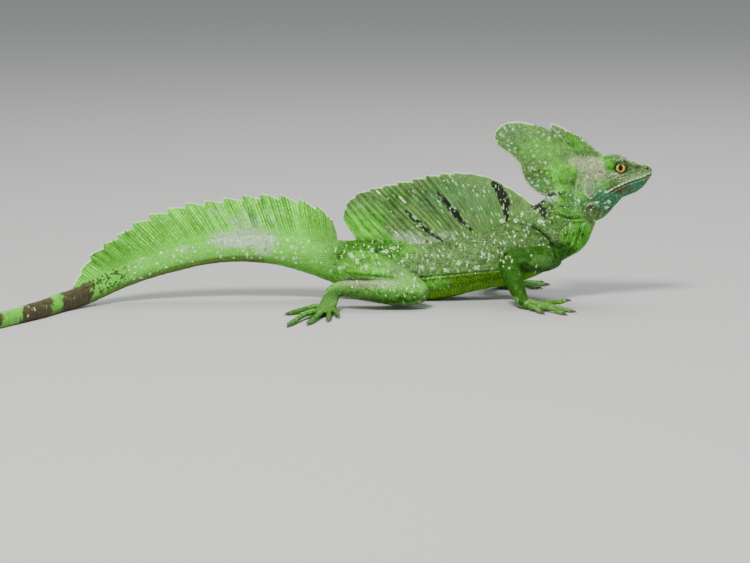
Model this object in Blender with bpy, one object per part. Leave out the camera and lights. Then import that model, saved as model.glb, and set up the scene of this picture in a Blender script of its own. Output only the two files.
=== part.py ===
"""A life-size male plumed basilisk at rest: head, neck, body, tail, four limbs and its sails.

The animal faces +X, its left side is +Y, and the ground is z = 0. Tables are in
millimetres, as the sizes of the real animal, and MM turns them into metres.
"""
import math

import bmesh
import bpy
from mathutils import Vector

MM = 0.001
GAP = 0.32 * MM            # clearance between touching pieces
MOST_SHELL = 1.6           # most that the clearance widens at a sharp corner
GROUND = 0.0
BODY_SIDES = 20            # facets round the trunk
TAIL_SIDES = 14
LIMB_SIDES = 12
TOE_SIDES = 6

# Trunk sections from the nape to the hips: back point x, z, belly point x, z, half width.
TRUNK = [
    (142.6, 83.0, 159.0, 63.5, 8.0),
    (131.5, 72.0, 157.0, 54.0, 8.6),
    (123.5, 63.0, 153.2, 42.4, 9.2),
    (115.5, 57.5, 147.4, 31.8, 10.6),
    (108.0, 53.0, 133.8, 23.4, 12.6),
    (99.2, 48.4, 119.7, 15.0, 14.2),
    (88.0, 44.0, 102.3, 9.4, 15.4),
    (74.4, 40.4, 81.8, 5.2, 16.4),
    (58.9, 37.9, 62.0, 0.6, 17.2),
    (43.4, 37.2, 42.2, -1.5, 17.2),
    (26.7, 37.2, 22.9, -1.2, 15.8),
    (10.5, 36.8, 4.3, 5.0, 13.2),
    (-4.3, 36.8, -10.5, 11.2, 10.6),
]
# Tail sections: distance along it, centre height, half height, half width, swing in degrees.
TAIL = [
    (16.0, 27.2, 10.9, 8.6, 0.0),
    (35.0, 30.2, 9.0, 7.0, 0.0),
    (56.0, 31.0, 7.9, 5.9, 1.0),
    (77.0, 29.2, 7.3, 5.2, 4.0),
    (98.0, 24.9, 7.1, 4.7, 9.0),
    (119.0, 19.8, 7.0, 4.4, 18.0),
    (139.0, 14.0, 6.8, 4.1, 32.0),
    (160.0, 7.9, 6.5, 3.9, 48.0),
    (185.0, 5.7, 6.1, 3.7, 62.0),
    (220.0, 4.9, 5.4, 3.4, 66.0),
    (290.0, 3.7, 4.1, 2.8, 44.0),
    (360.0, 2.6, 3.0, 2.2, 8.0),
    (430.0, 1.4, 1.8, 1.5, -22.0),
    (480.0, 0.7, 0.9, 0.8, -40.0),
]
TAIL_START = (-7.4, 23.9)  # x, z where the tail leaves the hips
TAIL_LEAN = 0.8            # share of the tail's slope that its sections follow
BODY_POWER = 2.15          # 2 is an ellipse, more is boxier
BACK_PINCH = 0.20          # how much narrower the back is than the belly

# Head sections from the snout back: x, crown z, mouth z, chin z, half widths at the
# brow, cheek, lips and jaw.
HEAD = [
    (189.0, 81.0, 78.5, 77.1, 1.5, 1.9, 2.0, 1.2),
    (187.2, 82.4, 77.7, 74.8, 2.8, 3.3, 3.5, 2.3),
    (184.1, 83.6, 76.3, 70.8, 3.9, 4.6, 5.2, 3.8),
    (179.8, 84.4, 75.0, 67.3, 5.0, 5.7, 6.5, 5.0),
    (175.5, 86.4, 73.8, 65.4, 6.8, 6.8, 7.8, 6.0),
    (171.1, 88.7, 72.2, 63.6, 8.0, 8.0, 8.9, 6.8),
    (166.2, 89.7, 69.9, 58.4, 8.5, 9.4, 10.0, 7.5),
    (161.2, 89.5, 67.1, 52.6, 8.5, 10.9, 11.0, 8.0),
    (155.6, 88.6, 63.9, 49.0, 8.2, 11.8, 11.5, 8.0),
    (150.0, 87.0, 62.2, 48.8, 7.6, 11.6, 10.8, 7.4),
    (144.5, 84.4, 62.8, 52.6, 6.2, 9.8, 9.0, 6.0),
    (140.7, 80.4, 64.4, 58.6, 4.0, 6.4, 6.0, 4.0),
]
HEAD_RINGS_PER_SECTION = 2
MOUTH_CORNER_X = 160.5
LIP_DEPTH = 0.55
MOUTH_GROOVE = 0.8

EYE_CENTRE = (169.2, 6.4, 82.5)
EYE_RADIUS = 3.5
LID_RADIUS = 0.85          # thickness of the lids' rim
LID_LENGTH = 3.35          # half length and half height of the opening between the lids
LID_HEIGHT = 2.9
LID_OUT = 1.75             # how far the rim lies out from the middle of the eye
NOSTRIL = (186.2, 3.3, 81.2)
NOSTRIL_SIZE = (0.91, 1.0, 0.7)
# Brow ridge: x, y, z of its middle, half width, half thickness.
BROW = [
    (164.0, 7.4, 86.8, 1.3, 1.0),
    (169.5, 8.1, 87.0, 1.7, 1.4),
    (175.0, 6.9, 85.4, 1.5, 1.2),
    (181.0, 4.9, 82.6, 0.9, 0.8),
]
EARDRUM = (149.4, 11.6, 71.2)
EARDRUM_SIZE = (3.3, 0.9, 5.2)

# Sails: root point x, z and rim point x, z, from the rear of each sail to its front.
BACK_SAIL = [
    (9.5, 34.0, -1.5, 50.5),
    (20.0, 34.5, 0.5, 58.0),
    (34.0, 34.8, 5.0, 64.0),
    (48.0, 34.8, 13.5, 68.0),
    (61.0, 34.5, 24.0, 70.5),
    (72.0, 36.0, 40.0, 74.0),
    (82.0, 38.5, 52.0, 76.8),
    (90.0, 41.5, 70.0, 78.8),
    (96.0, 43.5, 87.0, 76.4),
    (103.0, 46.5, 99.0, 70.8),
    (110.5, 50.0, 109.0, 64.5),
    (116.0, 53.5, 116.0, 58.8),
]
BACK_RAYS = 15
BACK_TOOTH = 1.7
EVEN_FROM = 9.5            # from about this ray forward the back's rim is nearly even
EVEN_BLEND = 1.5           # rays over which its teeth shrink
EVEN_SHARE = 0.28          # what is left of them there
# Tail sail: distance along the tail, height above it, lean backwards in degrees.
TAIL_SAIL = [
    (0.5, 1.6, 4.0),
    (3.0, 9.0, 8.0),
    (8.0, 17.6, 18.0),
    (18.0, 22.4, 22.0),
    (35.0, 24.2, 25.0),
    (56.0, 22.6, 29.0),
    (77.0, 23.0, 32.0),
    (98.0, 21.6, 34.0),
    (119.0, 16.8, 37.0),
    (139.0, 13.4, 40.0),
    (158.0, 7.0, 42.0),
    (171.0, 1.6, 42.0),
]
TAIL_RAYS = 17
TAIL_TOOTH = 3.2
BACK_ROOT_HALF = 1.25      # half thickness where a sail leaves the body
TAIL_ROOT_HALF = 1.06
SAIL_RIM_HALF = 0.36
LOW_SAIL = 12.0            # where a sail is lower than this its rays stand out less
RAY_RIDGE = 0.45           # how far a ray stands out of each face of its sail
SAIL_ROWS = 5
COLUMNS_PER_RAY = 3
RIM_SAMPLES = 120
BACK_ROOT_SINK = 1.0       # how deep each sail's root lies in the body
TAIL_ROOT_SINK = 2.25
STEEP_SHARE = 0.6          # how far the last column of a tooth moves on towards the next

# Casque: root point x, z and rim point x, z, from the crown round to the nape.
CASQUE = [
    (150.5, 84.0, 143.8, 88.6),
    (149.5, 82.0, 134.5, 98.2),
    (148.5, 80.5, 125.5, 104.8),
    (147.0, 79.0, 115.5, 108.8),
    (146.0, 77.5, 106.0, 110.4),
    (145.0, 76.0, 97.6, 109.0),
    (144.0, 74.8, 92.6, 104.4),
    (143.0, 73.6, 91.8, 99.4),
    (142.0, 72.4, 95.4, 94.2),
    (141.0, 71.2, 102.4, 89.4),
    (140.0, 70.0, 107.4, 83.6),
    (139.0, 68.8, 109.6, 76.8),
    (138.0, 67.6, 112.4, 71.6),
    (137.0, 66.6, 117.2, 67.4),
    (137.0, 65.6, 123.0, 64.6),
    (138.0, 64.6, 129.0, 63.4),
]
BROW_LOBE = [
    (145.5, 85.0, 144.2, 90.2),
    (149.0, 85.6, 133.6, 99.8),
    (151.0, 86.0, 125.8, 106.4),
    (152.5, 86.2, 127.8, 109.2),
    (154.0, 86.4, 136.4, 105.6),
    (156.0, 86.6, 144.2, 101.6),
    (157.5, 86.8, 149.4, 97.8),
    (159.5, 87.0, 155.2, 92.6),
    (161.0, 87.2, 160.0, 89.6),
]
CREST_ROOT_HALF = 2.3
CREST_RIM_HALF = 0.45
CREST_ROWS = 5

# Limbs: x, y, z of the middle and the radius, for the right side as seen in the pose.
UPPER_ARM_RIGHT = [
    (129.0, -5.0, 27.0, 7.0), (122.0, -13.0, 27.0, 8.2), (112.0, -20.5, 27.6, 7.8),
    (102.5, -25.8, 28.6, 6.4), (98.6, -27.6, 28.6, 4.6),
]
FOREARM_RIGHT = [
    (98.6, -26.6, 29.6, 5.0), (100.4, -29.0, 24.0, 6.2), (103.0, -32.2, 16.5, 5.8),
    (106.0, -35.6, 9.4, 4.6), (108.2, -37.6, 5.4, 3.9), (110.6, -38.8, 3.8, 3.2),
]
UPPER_ARM_LEFT = [
    (127.0, 5.0, 27.0, 7.0), (120.0, 13.0, 27.0, 8.2), (109.0, 20.5, 27.4, 7.8),
    (98.0, 26.0, 28.0, 6.4), (94.0, 27.8, 27.8, 4.6),
]
FOREARM_LEFT = [
    (94.0, 26.8, 28.8, 5.0), (93.4, 29.6, 23.0, 6.2), (92.8, 33.4, 15.6, 5.8),
    (92.8, 37.0, 8.8, 4.6), (94.0, 38.8, 5.2, 3.9), (96.4, 39.8, 3.8, 3.2),
]
THIGH_RIGHT = [
    (2.0, -4.0, 24.0, 9.0), (13.0, -13.0, 22.4, 9.8), (27.0, -23.6, 17.6, 9.6),
    (39.0, -33.0, 12.6, 8.4), (45.6, -37.6, 9.8, 7.0), (49.4, -39.6, 8.8, 4.4),
]
SHANK_RIGHT = [
    (47.0, -38.6, 9.4, 5.6), (39.0, -40.0, 9.8, 7.2), (26.0, -41.2, 10.8, 7.2),
    (12.0, -41.4, 12.0, 6.0), (1.0, -40.6, 12.8, 5.0), (-5.0, -40.4, 12.0, 4.5),
    (-8.6, -41.6, 10.2, 3.8),
]
THIGH_LEFT = [
    (2.0, 4.0, 24.0, 9.0), (13.0, 14.0, 22.4, 9.8), (25.0, 25.0, 18.4, 9.6),
    (36.0, 34.6, 14.2, 8.4), (42.0, 39.6, 11.6, 7.0), (45.6, 42.0, 10.6, 4.4),
]
SHANK_LEFT = [
    (43.4, 41.2, 11.0, 5.6), (36.0, 44.0, 10.4, 7.2), (24.0, 46.4, 9.6, 7.2),
    (11.0, 47.2, 8.8, 6.0), (1.0, 47.0, 7.8, 5.0), (-3.6, 47.2, 6.4, 4.2),
    (-5.4, 48.4, 5.2, 3.4),
]
# Palms and soles: x, y, z, half width, half thickness, from wrist or heel to knuckles.
PALM_RIGHT = [
    (106.6, -36.6, 6.0, 3.9, 3.4), (111.0, -39.0, 3.6, 4.8, 3.0),
    (117.0, -42.0, 2.4, 5.6, 2.5), (121.0, -43.6, 2.0, 3.6, 1.8),
]
PALM_LEFT = [
    (92.6, 38.0, 6.0, 3.9, 3.4), (97.0, 40.4, 3.6, 4.8, 3.0),
    (103.0, 43.4, 2.4, 5.6, 2.5), (107.0, 45.0, 2.0, 3.6, 1.8),
]
SOLE_RIGHT = [
    (-6.4, -38.6, 11.6, 4.4, 4.0), (-8.2, -45.6, 7.6, 5.0, 3.4), (-10.4, -53.6, 3.8, 5.6, 2.8),
    (-12.2, -60.0, 2.4, 5.2, 2.2), (-13.0, -63.0, 1.9, 3.2, 1.6),
]
SOLE_LEFT = [
    (-5.0, 46.6, 6.6, 3.6, 4.0), (0.6, 51.0, 4.6, 4.8, 3.2), (8.4, 55.6, 2.8, 5.6, 2.6),
    (14.4, 58.8, 2.2, 5.0, 2.1), (17.0, 60.2, 1.9, 3.0, 1.6),
]
# Toes: x, y where each leaves the foot, length, heading in degrees from +X, bend, lift of the tip.
FINGERS_RIGHT = [
    (113.0, -36.6, 14.0, 14.0, 12.0, 0.0), (116.6, -38.8, 18.0, -2.0, 12.0, 4.0),
    (118.6, -42.4, 20.5, -26.0, -4.0, 0.0), (117.8, -45.0, 21.5, -44.0, -12.0, 0.0),
    (113.0, -44.8, 14.0, -72.0, 14.0, 0.0),
]
FINGERS_LEFT = [
    (99.0, 38.0, 13.0, -30.0, -10.0, 0.0), (103.4, 40.4, 18.0, -8.0, -8.0, 0.0),
    (105.6, 43.8, 22.0, 12.0, 6.0, 0.0), (104.6, 46.4, 23.0, 26.0, 10.0, 0.0),
    (99.4, 46.0, 16.0, 60.0, -12.0, 0.0),
]
TOES_RIGHT = [
    (-7.6, -56.6, 15.0, -66.0, -16.0, 0.0), (-9.6, -60.0, 24.0, -84.0, -10.0, 0.0),
    (-12.6, -61.6, 35.0, -98.0, -10.0, 0.0), (-15.6, -60.0, 45.0, -116.0, 10.0, 0.0),
    (-11.4, -46.0, 27.0, -150.0, 14.0, 0.0),
]
TOES_LEFT = [
    (10.0, 51.6, 14.0, 4.0, -12.0, 0.0), (14.4, 54.8, 22.0, 14.0, -8.0, 0.0),
    (16.4, 58.0, 32.0, 22.0, 10.0, 0.0), (14.6, 61.0, 42.0, 34.0, 12.0, 0.0),
    (2.6, 55.0, 25.0, 78.0, -16.0, 0.0),
]
FINGER_RADIUS = 1.65
TOE_RADIUS = 1.85
TOE_STEPS = 6
TOE_ARCH = 1.5             # how high the joints bow over the ground
CLAW_LENGTH = 3.8
# Claw: share of its length, drop and width as shares of the toe's radius.
CLAW = ((0.18, 0.10, 0.62), (0.60, 0.02, 0.40), (1.0, -0.62, 0.10))
CLAW_LOWEST = 0.35         # lowest height of a claw's middle

GREEN = (0.16, 0.42, 0.06)
SAGE = (0.26, 0.42, 0.16)
LIME = (0.22, 0.50, 0.05)
AMBER = (0.78, 0.50, 0.10)


def clear_scene():
    for thing in list(bpy.data.objects):
        bpy.data.objects.remove(thing)


def material(name, colour, roughness):
    """A plain Principled material of the part's own colour."""
    made = bpy.data.materials.new(name)
    made.use_nodes = True
    shader = made.node_tree.nodes["Principled BSDF"]
    shader.inputs["Base Color"].default_value = (*colour, 1.0)
    shader.inputs["Roughness"].default_value = roughness
    made.diffuse_color = (*colour, 1.0)
    return made


def curve_rows(rows, place):
    """The table's row at a fractional index, on a smooth Catmull-Rom curve through its rows."""
    last = len(rows) - 1
    place = min(max(place, 0.0), float(last))
    index = min(int(place), last - 1)
    t = place - index
    before = rows[max(index - 1, 0)]
    start, end = rows[index], rows[index + 1]
    after = rows[min(index + 2, last)]
    made = []
    for a, b, c, d in zip(before, start, end, after):
        made.append(0.5 * (2 * b + (c - a) * t + (2 * a - 5 * b + 4 * c - d) * t * t
                           + (3 * b - a - 3 * c + d) * t ** 3))
    return made


def place_of(rows, value):
    """The fractional index at which the table's rising first column reaches value."""
    for index in range(len(rows) - 1):
        if value <= rows[index + 1][0]:
            return index + (value - rows[index][0]) / (rows[index + 1][0] - rows[index][0])
    return float(len(rows) - 1)


def trunk_row(back_x, back_z, belly_x, belly_z, half_width):
    """One trunk section as centre, up direction, half height and half width."""
    half = math.hypot(back_x - belly_x, back_z - belly_z) / 2
    up = ((back_x - belly_x) / (2 * half), 0.0, (back_z - belly_z) / (2 * half))
    return ((back_x + belly_x) / 2, 0.0, (back_z + belly_z) / 2, *up, half, half_width, 0.0)


def tail_rows():
    """The tail's sections, found by walking along it from the hips."""
    made = []
    x, z = TAIL_START
    y, along, turn = 0.0, 0.0, 0.0
    for distance, height, half_height, half_width, swing in TAIL:
        run = math.sqrt(max((distance - along) ** 2 - (height - z) ** 2, 0.0))
        middle = math.radians((turn + swing) / 2)
        x -= run * math.cos(middle)
        y -= run * math.sin(middle)
        heading = math.radians(swing)
        lean = math.asin((height - z) / (distance - along)) * TAIL_LEAN
        up = (math.sin(lean) * math.cos(heading), math.sin(lean) * math.sin(heading), math.cos(lean))
        made.append((x, y, height, *up, half_height, half_width, heading))
        along, turn, z = distance, swing, height
    return made


SPINE = [trunk_row(*row) for row in TRUNK] + tail_rows()
HIPS = len(TRUNK) - 1      # index of the last trunk section
SHOULDERS = 4.0            # index at which the neck becomes the trunk
NECK_RINGS = 11
TRUNK_RINGS = 19
TRUNK_SLIT = 0.028         # share of a section that leaves the clearance at the shoulders
TAIL_RINGS_PER_SECTION = 2.5
# Lengths of the tail: name, how many sections, share of one that leaves the clearance.
TAIL_LENGTHS = [
    ("tail_base", 3, 0.021),
    ("tail_middle", 4, 0.017),
    ("tail_rear", 3, 0.016),
    ("tail_whip", 2, 0.0055),
    ("tail_tip", 2, 0.0055),
]


def section(place):
    """Centre, side direction, up direction, half height and half width, in metres."""
    x, y, z, ux, uy, uz, half_height, half_width, heading = curve_rows(SPINE, place)
    up = Vector((ux, uy, uz)).normalized()
    side = Vector((-math.sin(heading), math.cos(heading), 0.0))
    side = (side - up * side.dot(up)).normalized()
    return Vector((x, y, z)) * MM, side, up, half_height * MM, half_width * MM


def body_ring(place, sides):
    """Points round one section of the trunk or tail, flattened where they meet the ground."""
    centre, side, up, half_height, half_width = section(place)
    points = []
    for index in range(sides):
        angle = 2 * math.pi * (index + 0.5) / sides
        cosine, sine = math.cos(angle), math.sin(angle)
        across = math.copysign(abs(cosine) ** (2 / BODY_POWER), cosine)
        rise = math.copysign(abs(sine) ** (2 / BODY_POWER), sine)
        across *= 1 - BACK_PINCH * max(sine, 0.0)
        point = centre + side * (across * half_width) + up * (rise * half_height)
        point.z = max(point.z, GROUND)
        points.append(point)
    return points


def mesh_object(name, verts, faces, finish):
    """A closed mesh object whose faces point out."""
    mesh = bpy.data.meshes.new(name)
    mesh.from_pydata(verts, [], faces)
    work = bmesh.new()
    work.from_mesh(mesh)
    bmesh.ops.remove_doubles(work, verts=work.verts, dist=1e-6)
    bmesh.ops.dissolve_degenerate(work, dist=1e-7, edges=work.edges)
    bmesh.ops.triangulate(work, faces=work.faces, quad_method="SHORT_EDGE")
    bmesh.ops.recalc_face_normals(work, faces=work.faces)
    if work.calc_volume(signed=True) < 0:
        bmesh.ops.reverse_faces(work, faces=work.faces)
    work.to_mesh(mesh)
    work.free()
    made = bpy.data.objects.new(name, mesh)
    bpy.context.scene.collection.objects.link(made)
    if finish:
        mesh.materials.append(finish)
    return made


def loft(name, rings, finish=None):
    """A closed body through rings of points, each end closed by a fan about its middle."""
    sides = len(rings[0])
    verts = [point for ring in rings for point in ring]
    faces = []
    for row in range(len(rings) - 1):
        for index in range(sides):
            following = (index + 1) % sides
            faces.append((row * sides + index, row * sides + following,
                          (row + 1) * sides + following, (row + 1) * sides + index))
    for row in (0, len(rings) - 1):
        middle = sum(rings[row], Vector()) / sides
        verts.append(middle)
        for index in range(sides):
            faces.append((row * sides + index, row * sides + (index + 1) % sides, len(verts) - 1))
    return mesh_object(name, verts, faces, finish)


def smooth_path(rows, steps):
    """Rows along the smooth curve through a table, with steps of them between each pair."""
    count = (len(rows) - 1) * steps
    return [curve_rows(rows, index / steps) for index in range(count + 1)]


def swept_rings(path, sides, flat_axis=None):
    """Rings round a path of x, y, z, half width, half thickness, in millimetres."""
    centres = [Vector(row[:3]) * MM for row in path]
    rings = []
    side = None
    for index, centre in enumerate(centres):
        ahead = centres[min(index + 1, len(centres) - 1)] - centres[max(index - 1, 0)]
        ahead.normalize()
        if flat_axis is not None:
            side = ahead.cross(Vector(flat_axis)).normalized()
        elif side is None:
            side = ahead.cross(Vector((0.0, 0.0, 1.0))).normalized()
        else:
            side = (side - ahead * side.dot(ahead)).normalized()
        up = side.cross(ahead).normalized()
        width, thickness = path[index][3] * MM, path[index][4] * MM
        ring = []
        for step in range(sides):
            angle = 2 * math.pi * (step + 0.5) / sides
            point = centre + side * (math.cos(angle) * width) + up * (math.sin(angle) * thickness)
            point.z = max(point.z, GROUND)
            ring.append(point)
        rings.append(ring)
    return rings


def limb(name, rows, finish):
    """One length of a leg, round in section, with rounded ends."""
    path = []
    for x, y, z, radius in smooth_path(rows, 2):
        path.append((x, y, z, radius, radius))
    return loft(name, swept_rings(path, LIMB_SIDES), finish)


def toe(name, row, radius):
    """One toe with its claw, bowed over its joints and down to the ground."""
    x, y, length, heading, bend, lift = row
    path = []
    angle = math.radians(heading)
    turn = math.radians(bend) / TOE_STEPS
    place = Vector((x, y, 0.0))
    for index in range(TOE_STEPS + 1):
        t = index / TOE_STEPS
        thick = radius * (1.12 - 0.34 * t + 0.10 * math.sin(3 * math.pi * t))
        arch = TOE_ARCH * math.sin(math.pi * min(t * 1.25, 1.0))
        height = thick * 0.86 + arch + lift * t ** 1.6
        path.append((place.x, place.y, height, thick, thick))
        if index < TOE_STEPS:
            place = place + Vector((math.cos(angle), math.sin(angle), 0.0)) * (length / TOE_STEPS)
            angle += turn
    onward = Vector((math.cos(angle), math.sin(angle), 0.0))
    base = path[-1][2]
    for reach, drop, width in CLAW:
        point = place + onward * (CLAW_LENGTH * reach)
        height = max(base + radius * 0.8 * drop, CLAW_LOWEST)
        path.append((point.x, point.y, height, radius * width, radius * width))
    return loft(name, swept_rings(path, TOE_SIDES), None)


def keep_largest(obj):
    """Drops every closed surface but the largest."""
    work = bmesh.new()
    work.from_mesh(obj.data)
    bmesh.ops.remove_doubles(work, verts=work.verts, dist=2e-6)
    bmesh.ops.dissolve_degenerate(work, dist=1e-6, edges=work.edges)
    unseen = set(work.faces)
    islands = []
    while unseen:
        stack = [unseen.pop()]
        island = list(stack)
        while stack:
            for edge in stack.pop().edges:
                for face in edge.link_faces:
                    if face in unseen:
                        unseen.remove(face)
                        island.append(face)
                        stack.append(face)
        islands.append(island)
    islands.sort(key=lambda faces: sum(face.calc_area() for face in faces))
    loose = [face for island in islands[:-1] for face in island]
    bmesh.ops.delete(work, geom=loose, context="FACES")
    bmesh.ops.triangulate(work, faces=work.faces)
    work.to_mesh(obj.data)
    work.free()


def apply_boolean(obj, operation, others):
    """Joins or cuts obj with a list of objects in one Boolean, then applies it."""
    group = bpy.data.collections.new("group")
    bpy.context.scene.collection.children.link(group)
    for other in others:
        for home in list(other.users_collection):
            home.objects.unlink(other)
        group.objects.link(other)
    change = obj.modifiers.new("change", "BOOLEAN")
    change.operation = operation
    change.operand_type = "COLLECTION"
    change.collection = group
    change.solver = "EXACT"
    bpy.context.view_layer.update()
    graph = bpy.context.evaluated_depsgraph_get()
    mesh = bpy.data.meshes.new_from_object(obj.evaluated_get(graph))
    obj.modifiers.clear()
    obj.data = mesh
    for other in others:
        bpy.data.objects.remove(other)
    bpy.data.collections.remove(group)
    keep_largest(obj)
    return obj


def grown(obj):
    """A copy of obj that stands out by the clearance, to cut its neighbour with."""
    work = bmesh.new()
    work.from_mesh(obj.data)
    work.normal_update()
    moves = []
    for vert in work.verts:
        moves.append(vert.normal * (GAP * min(vert.calc_shell_factor(), MOST_SHELL)))
    for vert, move in zip(work.verts, moves):
        vert.co += move
    mesh = bpy.data.meshes.new("grown")
    work.to_mesh(mesh)
    work.free()
    made = bpy.data.objects.new("grown", mesh)
    bpy.context.scene.collection.objects.link(made)
    return made


def trim(obj, *neighbours):
    """Cuts obj back from each neighbour, so that it meets it face to face."""
    for neighbour in neighbours:
        apply_boolean(obj, "DIFFERENCE", [grown(neighbour)])
    return obj


def ellipsoid(centre, radii, segments=14, rings=8):
    """A closed ellipsoid in millimetres."""
    work = bmesh.new()
    bmesh.ops.create_uvsphere(work, u_segments=segments, v_segments=rings, radius=1.0)
    for vert in work.verts:
        vert.co = Vector(vert.co[axis] * radii[axis] + centre[axis] for axis in range(3)) * MM
    mesh = bpy.data.meshes.new("ellipsoid")
    work.to_mesh(mesh)
    work.free()
    made = bpy.data.objects.new("ellipsoid", mesh)
    bpy.context.scene.collection.objects.link(made)
    return made


def body_length(name, start, end, rings, sides, finish):
    """One length of the neck, trunk or tail, between two places on the spine."""
    places = [start + (end - start) * index / (rings - 1) for index in range(rings)]
    return loft(name, [body_ring(place, sides) for place in places], finish)


def head_ring(row):
    """Points round one head section: crown, brow, cheek, the two lips and the jaw."""
    x, crown, mouth, chin, brow_w, cheek_w, lip_w, jaw_w = row
    tall, deep = crown - mouth, mouth - chin
    open_share = min(max((x - MOUTH_CORNER_X) / 4.0, 0.0), 1.0)
    groove = MOUTH_GROOVE * open_share * min(lip_w / 4.0, 1.0)
    lip = LIP_DEPTH * (0.6 + 0.4 * open_share)
    half = [
        (0.0, crown),
        (brow_w * 0.55, crown - tall * 0.03),
        (brow_w, crown - tall * 0.15),
        (brow_w * 0.45 + cheek_w * 0.53, crown - tall * 0.42),
        (cheek_w, crown - tall * 0.70),
        (lip_w, mouth + lip),
        (lip_w - groove, mouth),
        (lip_w * 0.97, mouth - lip),
        ((lip_w + jaw_w) * 0.48, mouth - deep * 0.52),
        (jaw_w * 0.92, chin + deep * 0.16),
        (jaw_w * 0.45, chin + deep * 0.03),
        (0.0, chin),
    ]
    other = [(-y, z) for y, z in reversed(half[1:-1])]
    return [Vector((x, y, z)) * MM for y, z in half + other]


def make_head(finish):
    """Head with brows, lids, mouth line, eye sockets, nostrils and eardrums."""
    rings = [head_ring(row) for row in smooth_path(HEAD, HEAD_RINGS_PER_SECTION)]
    head = loft("head", rings, finish)
    added, cut = [], []
    for flank in (-1, 1):
        eye = (EYE_CENTRE[0], EYE_CENTRE[1] * flank, EYE_CENTRE[2])
        added.append(lid_ring(eye, flank))
        brow = [(x, y * flank, z, width, thickness) for x, y, z, width, thickness in BROW]
        added.append(loft("brow", swept_rings(smooth_path(brow, 2), 8)))
        reach = EYE_RADIUS + GAP / MM
        cut.append(ellipsoid(eye, (reach, reach, reach), 16, 10))
        nostril = (NOSTRIL[0], NOSTRIL[1] * flank, NOSTRIL[2])
        cut.append(ellipsoid(nostril, NOSTRIL_SIZE, 8, 6))
        drum = (EARDRUM[0], EARDRUM[1] * flank, EARDRUM[2])
        cut.append(ellipsoid(drum, EARDRUM_SIZE, 12, 8))
    apply_boolean(head, "UNION", added)
    apply_boolean(head, "DIFFERENCE", cut)
    return head


def lid_ring(eye, flank):
    """The swollen rim of the lids round one eye."""
    path = []
    steps = 14
    for index in range(steps):
        angle = 2 * math.pi * index / steps
        path.append(Vector((eye[0] + math.cos(angle) * LID_LENGTH, eye[1] + LID_OUT * flank,
                            eye[2] + math.sin(angle) * LID_HEIGHT)) * MM)
    verts, faces = [], []
    sides = 6
    for index, point in enumerate(path):
        outward = (point - Vector((eye[0], eye[1] + LID_OUT * flank, eye[2])) * MM).normalized()
        for step in range(sides):
            angle = 2 * math.pi * step / sides
            offset = outward * math.cos(angle) + Vector((0.0, flank, 0.0)) * math.sin(angle)
            verts.append(point + offset * (LID_RADIUS * MM))
            onward = (index + 1) % steps
            faces.append((index * sides + step, index * sides + (step + 1) % sides,
                          onward * sides + (step + 1) % sides, onward * sides + step))
    return mesh_object("lid", verts, faces, None)


def make_eye(name, flank, finish):
    """One eyeball."""
    eye = ellipsoid((EYE_CENTRE[0], EYE_CENTRE[1] * flank, EYE_CENTRE[2]),
                    (EYE_RADIUS, EYE_RADIUS, EYE_RADIUS), 16, 10)
    eye.name = name
    eye.data.materials.append(finish)
    return eye


def vane(name, roots, rims, sides_out, halves, finish):
    """A thin sail: a grid from roots to rims, thick as halves says, with two like faces."""
    columns, rows = len(roots), len(halves[0])
    verts = []
    for face in (-1, 1):
        for column in range(columns):
            for row in range(rows):
                share = row / (rows - 1)
                middle = roots[column].lerp(rims[column], share)
                verts.append(middle + sides_out[column] * (face * halves[column][row]))
    half_count = columns * rows
    faces = []
    for column in range(columns - 1):
        for row in range(rows - 1):
            a, b = column * rows + row, (column + 1) * rows + row
            for offset in (0, half_count):
                faces.append((offset + a, offset + b, offset + b + 1))
                faces.append((offset + a, offset + b + 1, offset + a + 1))
    border = [column * rows for column in range(columns)]
    border += [(columns - 1) * rows + row for row in range(1, rows)]
    border += [column * rows + rows - 1 for column in range(columns - 2, -1, -1)]
    border += [row for row in range(rows - 2, 0, -1)]
    for index, first in enumerate(border):
        second = border[(index + 1) % len(border)]
        faces.append((first, second, second + half_count))
        faces.append((first, second + half_count, first + half_count))
    return mesh_object(name, verts, faces, finish)


def share_at(rims, share):
    """The share of a table at which a share of the length of its rim is reached."""
    along = [0.0]
    for start, end in zip(rims, rims[1:]):
        along.append(along[-1] + (end - start).length)
    rows = [(value,) for value in along]
    return place_of(rows, share * along[-1]) / (len(rims) - 1)


def tooth_share(place, even):
    """What is left of a tooth at a place along the rim, counted in rays."""
    share = min(max((place - even + EVEN_BLEND) / (2 * EVEN_BLEND), 0.0), 1.0)
    return 1 - (1 - EVEN_SHARE) * share * share * (3 - 2 * share)


def ray_columns(rays, tooth, line, even):
    """Root, rim, side, ridge and tooth of each column, evenly spaced along the rim."""
    rims = [line(index / RIM_SAMPLES)[1] for index in range(RIM_SAMPLES + 1)]
    columns = []
    count = rays * COLUMNS_PER_RAY
    for index in range(count + 1):
        phase = (index % COLUMNS_PER_RAY) / COLUMNS_PER_RAY
        ridge = 1.0 if phase == 0 else 0.0
        fade = min(index, count - index) / (COLUMNS_PER_RAY * 1.5)
        bite = tooth * (0.5 - phase * 1.35) * min(fade, 1.0) * tooth_share(index / COLUMNS_PER_RAY, even)
        onward = STEEP_SHARE if phase > 0.5 else 0.0
        root, rim, out = line(share_at(rims, (index + onward) / count))
        columns.append((root, rim + (rim - root).normalized() * (bite * MM), out, ridge))
    return columns


def make_sail(name, rays, tooth, line, root_half, finish, even=math.inf):
    """A sail whose rays each end in a tooth of its rim."""
    roots, rims, outs, halves = [], [], [], []
    for root, rim, out, ridge in ray_columns(rays, tooth, line, even):
        roots.append(root)
        rims.append(rim)
        outs.append(out)
        halves.append(sail_halves(ridge, (rim - root).length, root_half))
    return vane(name, roots, rims, outs, halves, finish)


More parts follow.
